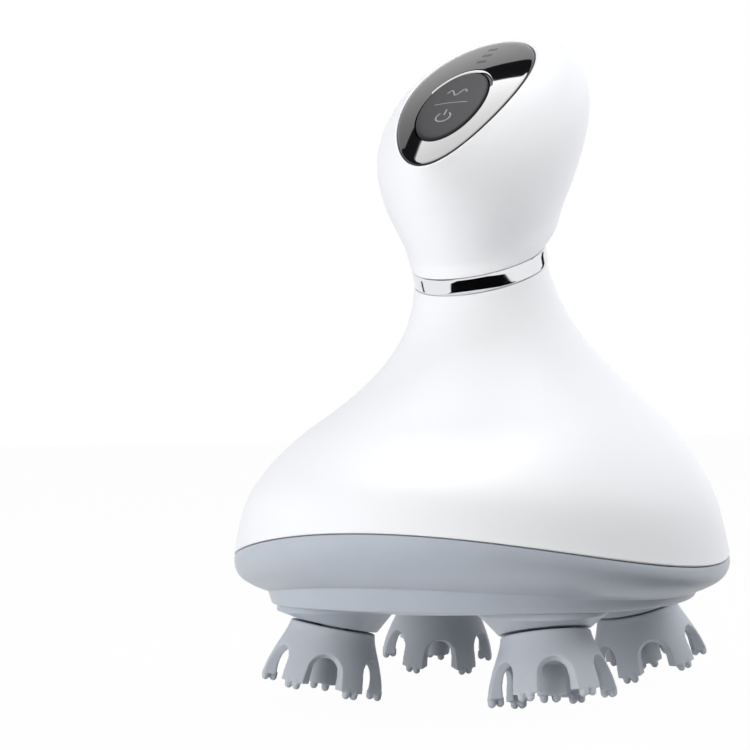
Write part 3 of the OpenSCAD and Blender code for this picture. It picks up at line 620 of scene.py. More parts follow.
def round_ring(stand: Matrix, radius: float, height: float, middle: float = 0.0) -> RingShape:
    """A round ring at a height in a frame, its middle moved along the frame's X axis."""
    return lambda turn: stand @ Vector(
        (middle + radius * math.cos(turn), radius * math.sin(turn), height))


# ---------------------------------------------------------------- shared places
class Corner(Enum):
    """The four places of the kneading heads, as their signs along X and Y."""

    FRONT_LEFT = (-1, -1)
    FRONT_RIGHT = (1, -1)
    BACK_LEFT = (-1, 1)
    BACK_RIGHT = (1, 1)

    def angle(self) -> float:
        """The head's turn about the Z axis, in radians."""
        right, back = self.value
        return math.atan2(back, right)


@dataclass(frozen=True)
class Layout:
    """The named places that several sub-assemblies share."""

    ring_y: float = 1.0
    ring_z: float = 95.0
    ring_tilt: float = 22.0
    panel_y: float = -4.8
    panel_z: float = 131.2
    panel_tilt: float = 38.0
    head_pitch: float = 25.2
    head_splay: float = 13.2
    seam_z: float = 16.579
    egg: float = 0.055

    def ring_frame(self) -> Matrix:
        """The plane of the trim ring."""
        return Matrix.Translation((0, self.ring_y, self.ring_z)) @ Matrix.Rotation(
            math.radians(self.ring_tilt), 4, "X")

    def panel_frame(self) -> Matrix:
        """The plane of the control panel's rim."""
        return Matrix.Translation((0, self.panel_y, self.panel_z)) @ Matrix.Rotation(
            math.radians(self.panel_tilt), 4, "X")

    def head_frame(self, corner: Corner) -> Matrix:
        """The frame of one head, its seam at 0 and its axis along Z."""
        return (Matrix.Rotation(corner.angle(), 4, "Z")
                @ Matrix.Translation((self.head_pitch * math.sqrt(2), 0, self.seam_z))
                @ Matrix.Rotation(-math.radians(self.head_splay), 4, "Y"))


LAYOUT = Layout()


@dataclass(frozen=True)
class Dome:
    """The curved top that the panel, the button and the knob's rim share.

    Heights are measured from the ends of the panel's rim, along the panel's normal.
    """

    half_width: float = 13.7
    half_length: float = 26.4
    egg: float = 0.17
    rise: float = 2.7
    side_rise: float = 1.5

    def height(self, x: float, y: float) -> float:
        """The dome's height over a point of the panel's plane."""
        return (self.rise - (self.rise - self.side_rise) * (x / self.half_width) ** 2
                - self.rise * (y / self.half_length) ** 2)

    def outline(self, turn: float, grow: float = 0.0) -> Vector:
        """Finds a point of the panel's outline.

        Args:
            turn: The turn round it in radians.
            grow: How far outside it the point lies.

        Returns:
            The point, at the height of the rim inside it.
        """
        wider = 1 + self.egg * math.sin(turn)
        x, y = self.half_width * wider * math.cos(turn), self.half_length * math.sin(turn)
        return Vector(((self.half_width + grow) * wider * math.cos(turn),
                       (self.half_length + grow) * math.sin(turn), self.height(x, y)))


DOME = Dome()


# ---------------------------------------------------------------- white shells
@dataclass
class Body:
    """The white bell-shaped body and the chrome ring on its neck.

    Its rows are ovals from the neck down, as oval_point takes them. The rim's edge is given as
    (inset, lift) and the ring's as (inset, drop).
    """

    steps: int = 160
    fineness: int = 8
    inside_skip: int = 4
    wall: float = 2.6
    rim_step: float = 1.3
    rim_depth: float = 1.0
    rim_edge: Table = ((0.02, 0.3), (0.12, 0.08), (0.35, 0.0))
    ring_radius: float = 15.3
    ring_bore: float = 12.3
    ring_half: float = 1.9
    ring_crown: float = 0.02
    ring_edge: Table = ((0.42, 0.0), (0.22, 0.06), (0.08, 0.2), (0.0, 0.42))
    rows: Table = (
        (1.75, 93.15, 22, 15.0, 15.0, 0), (2.6, 88, 19, 16.2, 16.2, 0),
        (3.4, 82, 15, 18.5, 18.8, 0), (3.8, 76, 11, 22.3, 22.9, 0), (3.6, 70.5, 8, 27.2, 28, 0),
        (2.8, 65, 5.5, 33.2, 34.2, 0), (1.6, 59, 3, 40.5, 41.9, 0.3),
        (0.6, 52, 1.2, 46.8, 48.9, 1.2), (0, 44, 0, 51.5, 54.1, 2.8),
        (0, 34, 0, 53.94, 56.97, 5))

    def shell(self) -> bpy.types.Object:
        """Makes the bell, down its outside, round its rim and up its inside.

        Returns:
            The shell.
        """
        egg = LAYOUT.egg
        outside = smooth_rows(self.rows, self.fineness)
        rim = [*self.rim_edge, (self.rim_step, 0.0), (self.rim_step, self.rim_depth),
               (self.wall, self.rim_depth)]
        inside = reversed(outside[:-self.inside_skip:self.inside_skip])
        rings = [oval_ring(row, egg) for row in outside[:-1]]
        rings += [oval_ring(raised(self.rows[-1], lift), egg, inset) for inset, lift in rim]
        rings += [oval_ring(row, egg, self.wall) for row in inside]
        return to_piece(loft(rings, self.steps, True), "bell_skin")

    def ring(self) -> bpy.types.Object:
        """Makes the chrome band, crowned by a hair, with rounded edges.

        Returns:
            The band.
        """
        half = self.ring_half
        upper = [(self.ring_bore, half)]
        upper += [(self.ring_radius - inset, half - drop) for inset, drop in self.ring_edge]
        upper += [(self.ring_radius + self.ring_crown / 2, half / 2)]
        profile = [(radius, -height) for radius, height in upper]
        profile += [(self.ring_radius + self.ring_crown, 0), *reversed(upper)]
        return to_piece(turned(profile, self.steps), "ring_band", LAYOUT.ring_frame())

    def build(self) -> list[bpy.types.Object]:
        """Makes and dresses the bell and the ring.

        Returns:
            The two pieces.
        """
        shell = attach(self.shell(), "housing")
        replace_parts(shell, "bell_housing")
        Coat.SHELL.dress(shell)
        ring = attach(self.ring(), "housing")
        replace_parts(ring, "trim_ring")
        Coat.CHROME.dress(ring)
        return [shell, ring]


@dataclass
class Knob:
    """The white knob with the ledge that the panel lies on.

    Its rows are ovals from the neck up, and its rim's edge is given as (drop, reach past the gap).
    """

    steps: int = 160
    fineness: int = 8
    inside_skip: int = 4
    wall: float = 2.4
    gap: float = 0.2
    rim_edge: Table = ((0.12, 0.35), (0.16, 0.12), (0.3, 0.0))
    ledge: float = 2.9
    ledge_reach: float = 1.4
    ledge_height: float = 1.6
    rows: Table = (
        (0.25, 96.85, 22, 15.1, 15.1, 0), (2.35, 100.6, 23.9, 16.9, 17.6, 0),
        (3.5, 105, 27.1, 17.9, 20.9, 0), (4.3, 110.6, 30.3, 20.1, 24.7, 0),
        (4.6, 116.8, 34, 22.4, 28.3, -0.1), (4, 122.4, 36.7, 23.7, 30.8, -0.2),
        (2.2, 127.1, 38, 23.3, 31.8, -0.45), (-0.9, 130.4, 38, 19.9, 30.7, -0.65),
        (-5.169, 131.673, 38, 14.5, 27.2, -0.75))

    def rim_point(self, drop: float, grow: float, turn: float) -> Vector:
        """A point near the panel's rim, below it by drop and outside it by grow."""
        return LAYOUT.panel_frame() @ (DOME.outline(turn, grow) - Vector((0, 0, drop)))

    def shell(self) -> bpy.types.Object:
        """Makes the knob, up its outside, over the rim, down to the ledge and down its inside.

        Returns:
            The shell.
        """
        outside = smooth_rows(self.rows, self.fineness)
        last = len(outside) - 1
        eggs = [-DOME.egg * (index / last) ** 2 for index in range(last + 1)]
        rim = [(drop, self.gap + wider) for drop, wider in self.rim_edge]
        rim += [(self.ledge, self.gap), (self.ledge, -self.ledge_reach),
                (self.ledge + self.ledge_height, -self.ledge_reach)]
        inside = slice(last - 2 * self.fineness, None, -self.inside_skip)
        rings = [oval_ring(row, egg) for row, egg in zip(outside, eggs)]
        rings += [partial(self.rim_point, drop, grow) for drop, grow in rim]
        rings += [oval_ring(row, egg, self.wall)
                  for row, egg in zip(outside[inside], eggs[inside])]
        return to_piece(loft(rings, self.steps, True), "knob_skin")

    def build(self) -> list[bpy.types.Object]:
        """Makes and dresses the knob.

        Returns:
            The one piece.
        """
        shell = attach(self.shell(), "housing")
        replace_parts(shell, "knob_housing")
        Coat.SHELL.dress(shell)
        return [shell]


# ---------------------------------------------------------------- panel and button
@dataclass
class Panel:
    """The domed black panel, the rocker button in it and the printed signs.

    Edges are given as (share of the way outwards, drop). Signs are measured from the button's
    middle, and windows from the panel's.
    """

    steps: int = 160
    glass_edge: Table = (
        (0.0, 1.9), (0.0, 0.06), (0.006, 0.0), *((k / 10, 0.0) for k in range(1, 9)), (0.88, 0.0),
        (0.95, 0.02), (0.98, 0.1), (0.993, 0.24), (1.0, 0.42), (1.0, 2.05), (0.99, 2.1),
        (0.5, 2.1), (0.01, 2.1))
    button_half_width: float = 7.5
    button_half_length: float = 13.2
    button_y: float = -5.6
    button_gap: float = 0.35
    button_lift: float = 0.35
    button_edge: Table = (
        (0.04, 0.0), (0.2, 0.0), (0.4, 0.0), (0.6, 0.0), (0.8, 0.0), (0.92, 0.01), (0.955, 0.05),
        (0.98, 0.15), (0.995, 0.31), (1.0, 0.5), (1.0, 2.25), (0.94, 2.75), (0.5, 2.75),
        (0.05, 2.75))
    print_foot: float = -0.05
    print_top: float = 0.02
    sign_line: float = 0.36
    divider_line: float = 0.22
    wave_left: float = -2.4
    wave_y: float = 4.0
    wave_height: float = 1.1
    wave_step: float = 0.2
    wave_steps: int = 24
    wave_period: int = 16
    divider_left: float = -4.0
    divider_y: float = -0.3
    divider_bow: float = 0.12
    divider_step: float = 0.4
    divider_steps: int = 20
    power_y: float = -5.5
    power_radius: float = 1.7
    power_opening: int = 38
    power_step: int = 6
    bar_y: float = -4.9
    bar_step: float = 0.3
    bar_steps: int = 7
    window_places: tuple[float, ...] = (13.8, 17.4, 21.0)
    window_half: float = 1.1
    window_line: float = 1.2

    def glass_point(self, part: float, drop: float, turn: float) -> Vector:
        """Finds a point of the panel.

        Args:
            part: Where it lies between the button's opening, 0, and the rim, 1.
            drop: How far it lies below the dome.
            turn: The turn round the panel in radians.

        Returns:
            The point in the panel's frame.
        """
        opening = Vector(((self.button_half_width + self.button_gap) * math.cos(turn),
                          (self.button_half_length + self.button_gap) * math.sin(turn)
                          + self.button_y, 0))
        place = opening.lerp(DOME.outline(turn), part)
        place.z = DOME.height(place.x, place.y) - drop
        return place

    def button_point(self, share: float, drop: float, turn: float) -> Vector:
        """Finds a point of the button.

        Args:
            share: Where it lies between the button's middle, 0, and its outline, 1.
            drop: How far it lies below the button's top.
            turn: The turn round the button in radians.

        Returns:
            The point in the panel's frame.
        """
        x = self.button_half_width * share * math.cos(turn)
        y = self.button_half_length * share * math.sin(turn) + self.button_y
        return Vector((x, y, DOME.height(x, y) + self.button_lift - drop))

    def glass(self) -> bpy.types.Object:
        """The panel with soft edges round its opening and its rim."""
        rings = [partial(self.glass_point, part, drop) for part, drop in self.glass_edge]
        return to_piece(
            loft(rings, self.steps, True), "panel_glass", LAYOUT.panel_frame(), CRISP_GLOSS)

    def button(self) -> bpy.types.Object:
        """The oval cap with a soft edge."""
        rings = [partial(self.button_point, share, drop) for share, drop in self.button_edge]
        return to_piece(
            loft(rings, self.steps, False), "button_cap", LAYOUT.panel_frame(), CRISP_GLOSS)

    def sign(self, name: str, paths: Sequence[Sequence[Row]], line: float,
             above: float) -> bpy.types.Object:
        """Prints thin lines that follow the dome.

        Args:
            name: The piece's name.
            paths: Lines as (x, y) points measured from the button's middle.
            line: The lines' width.
            above: The height over the dome of the surface that is printed on.

        Returns:
            The sign as one closed mesh.
        """
        work = bmesh.new()
        for path in paths:
            points = [Vector((x, y + self.button_y, 0)) for x, y in path]
            sides: list[list[bmesh.types.BMVert]] = []
            for index, point in enumerate(points):
                before = points[max(index - 1, 0)]
                after = points[min(index + 1, len(points) - 1)]
                across = (after - before).normalized().cross(Vector((0, 0, 1))) * line / 2
                sides.append([work.verts.new(point + across), work.verts.new(point - across)])
            for near, far in zip(sides, sides[1:]):
                work.faces.new((near[0], far[0], far[1], near[1]))
        grown = bmesh.ops.extrude_face_region(work, geom=list(work.faces))["geom"]
        top = {item for item in grown if isinstance(item, bmesh.types.BMVert)}
        for vert in work.verts:
            lift = above + (self.print_top if vert in top else self.print_foot)
            vert.co.z = DOME.height(vert.co.x, vert.co.y) + lift
        bmesh.ops.recalc_face_normals(work, faces=work.faces)
        return to_piece(work, name, LAYOUT.panel_frame())

    def signs(self) -> list[bpy.types.Object]:
        """Draws the button's signs.

        Returns:
            A wave for the modes, a dividing line and a power sign.
        """
        wave = [(self.wave_left + self.wave_step * k,
                 self.wave_y + self.wave_height * math.sin(math.tau * k / self.wave_period))
                for k in range(self.wave_steps + 1)]
        divider = [(self.divider_left + self.divider_step * k,
                    self.divider_y + self.divider_bow * math.sin(math.pi * k / self.divider_steps))
                   for k in range(self.divider_steps + 1)]
        arc = [(self.power_radius * math.sin(math.radians(angle)),
                self.power_y + self.power_radius * math.cos(math.radians(angle)))
               for angle in range(self.power_opening, 361 - self.power_opening, self.power_step)]
        bar = [(0.0, self.bar_y + self.bar_step * k) for k in range(self.bar_steps + 1)]
        return [self.sign(name, paths, line, self.button_lift) for name, paths, line in (
            ("mode_sign", [wave], self.sign_line),
            ("sign_divider", [divider], self.divider_line),
            ("power_sign", [arc, bar], self.sign_line))]

    def windows(self) -> list[bpy.types.Object]:
        """The thin dark windows over the light guides."""
        return [
            self.sign("lens_window", [[(x, place - self.button_y) for x in
                                       (-self.window_half, 0, self.window_half)]],
                      self.window_line, 0.0)
            for place in self.window_places]

    def build(self) -> list[bpy.types.Object]:
        """Makes and dresses the panel, the button, the signs and the windows.

        Returns:
            Every piece.
        """
        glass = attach(self.glass(), "housing")
        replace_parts(glass, "control_panel")
        Coat.PANEL.dress(glass)
        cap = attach(self.button(), "button")
        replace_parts(cap, "control_button")
        Coat.BUTTON.dress(cap)
        signs = self.signs()
        for sign in signs:
            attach(sign, "button")
            Coat.SIGN.dress(sign)
        windows = self.windows()
        for window in windows:
            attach(window, "housing")
            Coat.WINDOW.dress(window)
        return [glass, cap, *signs, *windows]


# ---------------------------------------------------------------- grey base
@dataclass
class Base:
    """The grey base with its stepped rim and the four splayed pods.

    The rows, the tier below them and the inside are ovals. The rim's edge is (inset, drop), a
    pod's stand (height, outer reach, inner reach), its collar's edge (widening, lift), and its
    sleeve (radius, height). The hub hole and the contacts' pad are (radius, foot, height), and
    the screws' recesses (x, y, top).
    """

    steps: int = 160
    pod_steps: int = 96
    bore_steps: int = 48
    fineness: int = 4
    rim_edge: Table = ((2.5, 1.0), (1.2, 1.0), (1.2, 0.0), (0.3, 0.0), (0.1, 0.06), (0.0, 0.3))
    rim_rows: int = 2
    rows: Table = (
        (0, 33.8, 0, 53.84, 56.88, 5), (0, 31.2, 0, 53.8, 56.8, 4.5), (0, 28.6, 0, 52.6, 55.6, 3.7),
        (0, 26.7, 0, 50.3, 53.3, 3.1), (0, 25.3, 0, 47.8, 50.8, 2.6))
    tier: Table = (
        (0, 25.08, 0, 47.35, 50.35, 2.55), (0, 25.0, 0, 47.0, 50.0, 2.5),
        (0, 24.8, 0, 46.8, 49.8, 2.4), (0, 23.4, 0, 46.5, 49.5, 1.7),
        (0, 22.2, 0, 46.2, 49.2, 1.0), (0, 21.92, 0, 46.05, 49.05, 0.9),
        (0, 21.75, 0, 45.8, 48.8, 0.85), (0, 21.7, 0, 45.3, 48.3, 0.8),
        (0, 21.7, 0, 43.6, 46.6, 0.3), (0, 21.7, 0, 42, 45, 0.0), (0, 21.7, 0, 18, 18, 0))
    inside: Table = (
        (0, 23.6, 0, 18, 18, 0), (0, 23.7, 0, 40, 43, 0.1), (0, 25.4, 0, 45.4, 48.4, 1.2),
        (0, 28.4, 0, 50, 53, 3.2))
    stand: Table = (
        (25.9, 46.9, 17.7), (22.8, 47.3, 19.2), (21.0, 47.75, 20.4), (20.72, 47.8, 20.65),
        (20.5, 47.8, 21.0), (20.38, 47.75, 21.3))
    back_shy: float = 2.4
    collar: float = 9.3
    collar_edge: Table = ((0.4, 0.45), (0.22, 0.36), (0.1, 0.15))
    sleeve: Table = (
        (0, 1), (9, 1), (9.7, 2.2), (10.5, 3), (11.8, 6), (11.8, 8.6), (0, 8.8))
    hub_hole: Place = (5.6, -1, 4.5)
    pad: Place = (3.7, 20.62, 2.4)
    contacts: Table = ((-6, 35), (6, 35))
    contact_top: float = 21.8
    screws: Table = ((43, 0, 24.5), (-43, 0, 24.5), (0, 45, 30.5), (0, -44, 30.5))
    recess_radius: float = 2.5
    recess_foot: float = 10

    def pan(self) -> bpy.types.Object:
        """Makes the pan itself, from its inside over its rim and down its outside to its floor.

        Returns:
            The pan without pods.
        """
        egg = LAYOUT.egg
        outside = [*smooth_rows(self.rows, self.fineness)[self.rim_rows:], *self.tier]
        rings = [oval_ring(row, egg) for row in self.inside]
        rings += [oval_ring(raised(self.rows[0], -drop), egg, inset)
                  for inset, drop in self.rim_edge]
        rings += [oval_ring(row, egg) for row in outside]
        return to_piece(loft(rings, self.steps, False), "base_skin")

    def pod(self, corner: Corner) -> bpy.types.Object:
        """Makes a round stand that leans out of the floor and narrows to the head's collar.

        Args:
            corner: Where the pod stands.

        Returns:
            The pod as a closed solid.
        """
        level = Matrix.Rotation(corner.angle(), 4, "Z")
        head = LAYOUT.head_frame(corner)
        shy = self.back_shy if corner.value[1] > 0 else 0.0
        rings = [round_ring(level, (outer - shy - inner) / 2, z, (outer - shy + inner) / 2)
                 for z, outer, inner in self.stand]
        rings += [round_ring(head, self.collar + wider, lift) for wider, lift in self.collar_edge]
        return to_piece(loft(rings, self.pod_steps, False), "pod")

    def stem(self, corner: Corner) -> bpy.types.Object:
        """The thick sleeve inside a pod that holds the head's bearing."""
        return to_piece(turned(self.sleeve), "stem", LAYOUT.head_frame(corner))

    def bore(self, stand: Matrix, radius: float, foot: float, height: float) -> bpy.types.Object:
        """A closed cylinder from foot upwards, to cut with or to add."""
        profile = [(0, foot), (radius, foot), (radius, foot + height), (0, foot + height)]
        return to_piece(turned(profile, self.bore_steps), "bore", stand)

    def build(self) -> list[bpy.types.Object]:
        """Makes, cuts and dresses the base.

        Returns:
            The one piece.
        """
        pan = self.pan()
        added = [shape(corner) for corner in Corner for shape in (self.pod, self.stem)]
        added += [self.bore(Matrix.Translation((x, y, 0)), *self.pad) for x, y in self.contacts]
        combine(pan, added, "UNION")
        recesses = [*self.screws, *((x, y, self.contact_top) for x, y in self.contacts)]
        cut = [self.bore(LAYOUT.head_frame(corner), *self.hub_hole) for corner in Corner]
        cut += [self.bore(Matrix.Translation((x, y, 0)), self.recess_radius,
                          self.recess_foot, top - self.recess_foot) for x, y, top in recesses]
        combine(pan, cut, "DIFFERENCE")
        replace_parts(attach(pan, "housing"), "base_chassis")
        Coat.BASE.dress(pan)
        return [pan]


# ---------------------------------------------------------------- kneading heads
@dataclass
class Head:
    """One kneading head: its soft claw and the parts that turn it.

    Its sockets are (sides, radius, middle), and its profile is (radius, height).
    """

    corner: Corner
    voxel: float = 0.21
    soft_passes: int = 2
    soft_share: float = 0.5
    fingers: int = 6
    finger_width: float = 5.4
    tip_circle: float = 11.8
    tip: float = -12.6
    arch_top: float = -5.2
    arch_steps: int = 24
    arch_ends: tuple[float, float] = (0.3, 12.0)
    arch_legs: float = 3.0
    sockets: Table = ((6, 4.73, -1.6), (32, 4.6, 1.6))
    socket_depth: float = 6.0
    nodule: float = 0.85
    nodule_z: float = -13.3
    nodule_root: float = 0.5
    nodule_steps: int = 8
    nodule_sides: int = 20
    post_circle: float = 1.7
    finger_circle: float = 1.1
    coats: Coats = (
        (Coat.STEEL, "shaft"), (Coat.GEAR, "gear"), (Coat.HUB, "hub"), (Coat.SEAL, "seal"),
        (Coat.BRASS, "lower_bush upper_bush"))
    profile: Table = (
        (0, -0.15), (9.0, -0.15), (9.2, -0.24), (9.3, -0.45), (9.42, -1.2), (9.7, -2.2),
        (10.27, -3.7), (10.9, -5.2), (11.6, -6.9), (12.2, -8.6), (12.6, -9.8), (12.9, -11),
        (13.15, -12.6), (10.45, -12.6), (10.45, -10.6), (10.25, -9.3), (9.9, -8), (9.4, -6.7),
        (8.7, -5.6), (7.6, -5.0), (6.2, -4.95), (5.5, -5.4), (4.6, -6.0), (3.4, -6.2),
        (3.0, -6.6), (3.0, -12.6), (0, -12.6))

    def arch(self, turn: float) -> bpy.types.Object:
        """Makes the tool that opens one arch, widening outwards so that the fingers stay even.

        Args:
            turn: Where the arch is, round the claw's axis in radians.

        Returns:
            The tool.
        """
        share = math.pi / self.fingers
        start = self.finger_width / 2 / math.sin(share)
        spread = math.tan(share)
        crown = self.arch_top - (self.tip_circle - start) * spread
        work = bmesh.new()
        ends = []
        for reach in self.arch_ends:
            half = reach * spread
            outline = [(half * math.cos(angle), half * math.sin(angle)) for angle in
                       (math.pi * k / self.arch_steps for k in range(self.arch_steps + 1))]
            outline += [(side * half, -self.arch_legs * half) for side in (-1, 1)]
            ring = [work.verts.new((start + reach, across, crown + up)) for across, up in outline]
            ends.append([work.edges.new(pair) for pair in zip(ring, ring[1:] + ring[:1])])
        for edges in ends:
            bmesh.ops.contextual_create(work, geom=edges)
        bmesh.ops.bridge_loops(work, edges=ends[0] + ends[1])
        bmesh.ops.recalc_face_normals(work, faces=work.faces)
        bmesh.ops.rotate(
            work, cent=(0, 0, 0), matrix=Matrix.Rotation(turn, 3, "Z"), verts=work.verts)
        return to_piece(work, "arch")

    def socket(self) -> list[bpy.types.Object]:
        """Makes the tools that open the socket for the hub and the recess before it.

        Returns:
            The two tools.
        """
        made = []
        for sides, radius, middle in self.sockets:
            work = bmesh.new()
            bmesh.ops.create_cone(
                work, cap_ends=True, segments=sides, radius1=radius, radius2=radius,
                depth=self.socket_depth, matrix=Matrix.Translation((0, 0, middle)))
            made.append(to_piece(work, "socket"))
        return made

    def nodules(self, turn: float) -> list[bpy.types.Object]:
        """Makes the small round-ended pins on the finger tips and on the middle post.

        Args:
            turn: Where the first finger is, round the claw's axis in radians.

        Returns:
            The pins.
        """
        thirds = [math.tau * k / 3 for k in range(3)]
        spots = [(self.post_circle, third, 0.0, 0.0) for third in thirds]
        for finger in range(self.fingers):
            around = math.tau * finger / self.fingers
            x, y = self.tip_circle * math.cos(around), self.tip_circle * math.sin(around)
            spots += [(self.finger_circle, around + math.pi + third, x, y) for third in thirds]
        root = self.tip + self.nodule_root
        quarter = [math.pi * k / (2 * self.nodule_steps) for k in range(self.nodule_steps)]
        profile = [(0, root), (self.nodule, root)]
        profile += [(self.nodule * math.cos(angle), self.nodule_z - self.nodule * math.sin(angle))
                    for angle in quarter]
        profile += [(0, self.nodule_z - self.nodule)]
        return [
            to_piece(turned(profile, self.nodule_sides), "nodule", Matrix.Rotation(turn, 4, "Z")
                     @ Matrix.Translation((x + reach * math.cos(angle),
                                           y + reach * math.sin(angle), 0)))
            for reach, angle, x, y in spots]

    def claw(self) -> bpy.types.Object:
        """Makes the claw, soft all over as a silicone moulding is, and puts it on its head.

        Returns:
            The claw.
        """
        turn = math.pi / 2 - self.corner.angle()
        piece = to_piece(turned(self.profile), f"{self.corner.name.lower()}_claw_soft")
        arches = [self.arch(turn + math.tau * (k + 0.5) / self.fingers)
                  for k in range(self.fingers)]
        combine(piece, arches + self.socket(), "DIFFERENCE")
        combine(piece, self.nodules(turn), "UNION")
        remesh = piece.modifiers.new("remesh", "REMESH")
        remesh.mode = "VOXEL"
        remesh.voxel_size = self.voxel * MM
        remesh.use_smooth_shade = True
        smooth = piece.modifiers.new("soften", "SMOOTH")
        smooth.factor = self.soft_share
        smooth.iterations = self.soft_passes
        bake(piece)
        stand = Matrix.Scale(MM, 4) @ LAYOUT.head_frame(self.corner) @ Matrix.Scale(1 / MM, 4)
        with reworked(piece) as work:
            bmesh.ops.transform(work, matrix=stand, verts=work.verts)
        return piece

    def build(self) -> list[bpy.types.Object]:
        """Makes and dresses the claw, and dresses the head's other nodes.

        Returns:
            The claw and the nodes.
        """
        place = self.corner.name.lower()
        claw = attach(self.claw(), f"{place}_claw")
        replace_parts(claw, f"{place}_claw")
        Coat.CLAW.dress(claw)
        return [claw, *dress_nodes(self.coats, f"{place}_")]


# ---------------------------------------------------------------- the inside
@dataclass
class Inside:
    """The electronics, the motor and the drive train, which keep their solids."""

    coats: Coats = (
        (Coat.STEEL, "board_screws neck_screws base_screws plate_screws bracket_screws "
                     "drive_shaft reduction_axles motor_pinion motor_bracket"),
        (Coat.GEAR, "drive_gear output_wheel first_reduction_gear second_reduction_gear"),
        (Coat.BOARD, "control_board main_board"), (Coat.SWITCH, "tact_switches battery_cradle"),
        (Coat.SEAL, "panel_seal"), (Coat.GASKET, "base_gasket"), (Coat.LENS, "indicator_lenses"),
        (Coat.GOLD, "charging_contacts"), (Coat.PLATE, "gear_plate"),
        (Coat.BRASS, "drive_bushes"), (Coat.CAN, "motor"), (Coat.CELL, "battery_cell"),
        (Coat.WIRE, "wiring"))

    def build(self) -> list[bpy.types.Object]:
        """Dresses the nodes."""
        return dress_nodes(self.coats)


# ---------------------------------------------------------------- studio
@dataclass(frozen=True)
class Lamp:
    """A rectangular soft light that the camera doesn't see.

    Its radiance is how bright it looks, where 1 is white. One that is gloss_only is seen in
    reflections and lights nothing; the others light and aren't seen in reflections.
    """

    name: str
    place: Place
    size: tuple[float, float]
    radiance: float
    aim: Place
    gloss_only: bool = False

    def build(self) -> None:
        """Hangs the lamp in its place, facing its aim."""
        data = bpy.data.lights.new(self.name, "AREA")
        data.shape = "RECTANGLE"
        data.size, data.size_y = (side * MM for side in self.size)
        data.energy = self.radiance * math.pi * data.size * data.size_y
        lamp = bpy.data.objects.new(self.name, data)
        lamp.location = Vector(self.place) * MM
        lamp.rotation_mode = "QUATERNION"
        lamp.rotation_quaternion = (Vector(self.aim) - Vector(self.place)).to_track_quat("-Z", "Y")
        lamp.visible_camera = False
        lamp.visible_diffuse = not self.gloss_only
        lamp.visible_glossy = self.gloss_only
        bpy.context.scene.collection.objects.link(lamp)


@dataclass(frozen=True)
class Card:
    """A black card that only reflections see, between two corners of its flat box.

    One that has fill also takes soft light from what stands above it.
    """

    name: str
    low: Place
    high: Place
    fill: bool = False

    def build(self) -> None:
        """Puts the card in its place."""
        low, high = Vector(self.low), Vector(self.high)
        work = bmesh.new()
        bmesh.ops.create_cube(work, size=1.0)
        bmesh.ops.scale(work, vec=high - low, verts=work.verts)
        bmesh.ops.translate(work, vec=(low + high) / 2, verts=work.verts)
        card = to_piece(work, self.name)
        Coat.CARD.dress(card)
        card.visible_camera = card.visible_shadow = card.visible_transmission = False
        card.visible_diffuse = self.fill


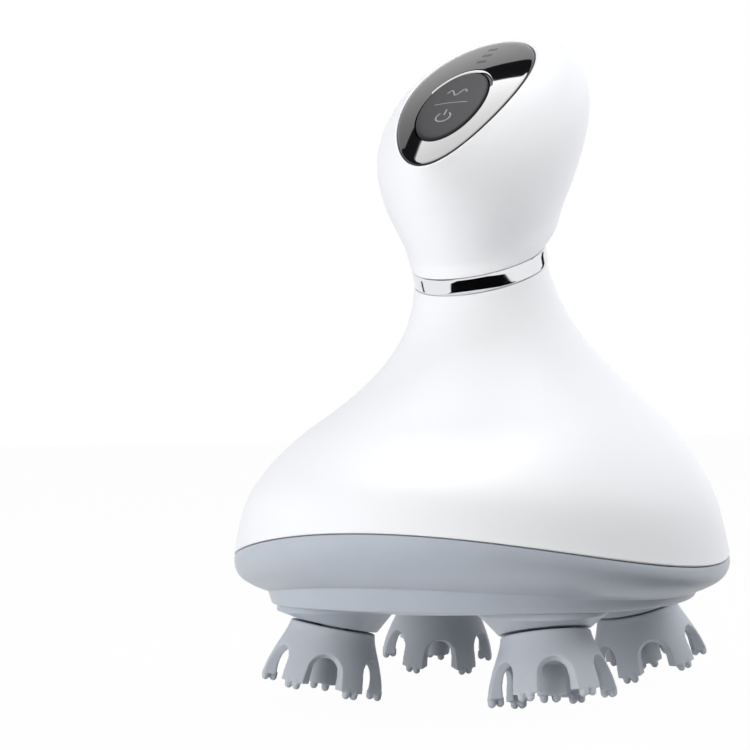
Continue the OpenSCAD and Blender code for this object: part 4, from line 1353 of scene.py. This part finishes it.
@dataclass
class Studio:
    """The camera, the lamps, the cards and the pale floor."""

    azimuth: float = 26.0
    distance: float = 430.0
    height: float = 63.56
    focal_px: float = 1923.0
    yaw: float = 3.158
    pitch: float = 0.995
    roll: float = 1.6
    picture: int = 750
    sensor: float = 36.0
    clip: tuple[float, float] = (0.02, 20.0)
    floor_reach: float = 3000.0
    floor_cells: int = 8
    floor_roughness: float = 0.7
    floor_patch: float = 60.0
    floor_colours: tuple[Colour, Colour] = ((0.7, 0.7, 0.71), (0.74, 0.74, 0.74))
    floor_white: float = 0.98
    surround: float = 0.22
    lamps: tuple[Lamp, ...] = (
        Lamp("window", (-85, -10, 700), (500, 500), 5.8, (-85, -10, 0), gloss_only=True),
        Lamp("top", (-120, 60, 720), (600, 600), 1.45, (0, 0, 60)),
        Lamp("key", (-260, -710, 125), (700, 240), 6.8, (0, 0, 60)),
        Lamp("front", (-100, -620, 600), (420, 420), 1.3, (0, 0, 90)),
        Lamp("rim", (490, 290, 430), (420, 420), 6.0, (0, 0, 90)))
    cards: tuple[Card, ...] = (
        Card("window_edge_left", (-385, -900, 690), (-335, 345, 691)),
        Card("window_edge_corner", (-900, -900, 690), (-385, 75, 691)),
        Card("window_edge_back", (-335, 240, 690), (600, 345, 691)),
        Card("dark_side", (62, -130, 3), (160, 20, 4), fill=True),
        Card("front_card", (-75, -330, 1), (217, -62, 2)),
        Card("side_card", (95, -62, 1), (217, -25, 2)),
        Card("left_strip", (-600, 45, 1), (-260, 90, 2)),
        Card("right_strip", (160, 460, 0), (250, 468, 300)))

    def camera(self) -> None:
        """Places the camera, turned so that the massager stands right of the middle."""
        data = bpy.data.cameras.new("camera")
        data.sensor_width = self.sensor
        data.lens = self.focal_px / self.picture * self.sensor
        data.clip_start, data.clip_end = self.clip
        camera = bpy.data.objects.new("camera", data)
        turn = math.radians(self.azimuth)
        camera.location = Vector((math.sin(turn) * self.distance, -math.cos(turn) * self.distance,
                                  self.height)) * MM
        camera.rotation_mode = "QUATERNION"
        facing = (Matrix.Rotation(turn + math.radians(self.yaw), 3, "Z")
                  @ Matrix.Rotation(math.radians(90 + self.pitch), 3, "X")
                  @ Matrix.Rotation(-math.radians(self.roll), 3, "Z"))
        camera.rotation_quaternion = facing.to_quaternion()
        bpy.context.scene.collection.objects.link(camera)
        bpy.context.scene.camera = camera

    def floor(self) -> None:
        """Lays a wide pale floor, nearly plain white to the rays that show it directly."""
        work = bmesh.new()
        bmesh.ops.create_grid(work, x_segments=self.floor_cells, y_segments=self.floor_cells,
                              size=self.floor_reach)
        floor = to_piece(work, "floor")
        shader = Shader(bpy.data.materials.new("floor_white"))
        shader.set(Base_Color=shader.mix(shader.noise(self.floor_patch), *self.floor_colours),
                   Roughness=self.floor_roughness)
        white = shader.node("ShaderNodeEmission", inputs={"Color": (1, 1, 1), "Strength": 1.0})
        mixed = shader.node("ShaderNodeMixShader", inputs={
            0: shader.direct_rays() * self.floor_white,
            1: Signal(shader, shader.surface.outputs[0]), 2: white})
        shader.feed(shader.tree.nodes["Material Output"].inputs["Surface"], mixed)
        floor.data.materials.append(shader.owner)

    def world(self) -> None:
        """Sets an even pale surround, white to the rays that show it directly."""
        world = bpy.data.worlds.new("surround")
        bpy.context.scene.world = world
        shader = Shader(world, "Background")
        shader.set(Color=(1, 1, 1),
                   Strength=self.surround + shader.direct_rays() * (1 - self.surround))

    def build(self) -> None:
        """Sets up everything that isn't the massager."""
        self.camera()
        self.world()
        self.floor()
        for item in (*self.lamps, *self.cards):
            item.build()
        bpy.context.scene.view_settings.view_transform = "Standard"


def main() -> None:
    """Builds the massager piece by piece, then the studio."""
    logging.basicConfig(level=logging.INFO, format="%(name)s: %(message)s")
    for part in (Body(), Knob(), Panel(), Base(), *map(Head, Corner), Inside()):
        for piece in part.build():
            LOG.info("%s: %d faces", piece.name, len(piece.data.polygons))
    Studio().build()


if __name__ == "__main__":
    main()
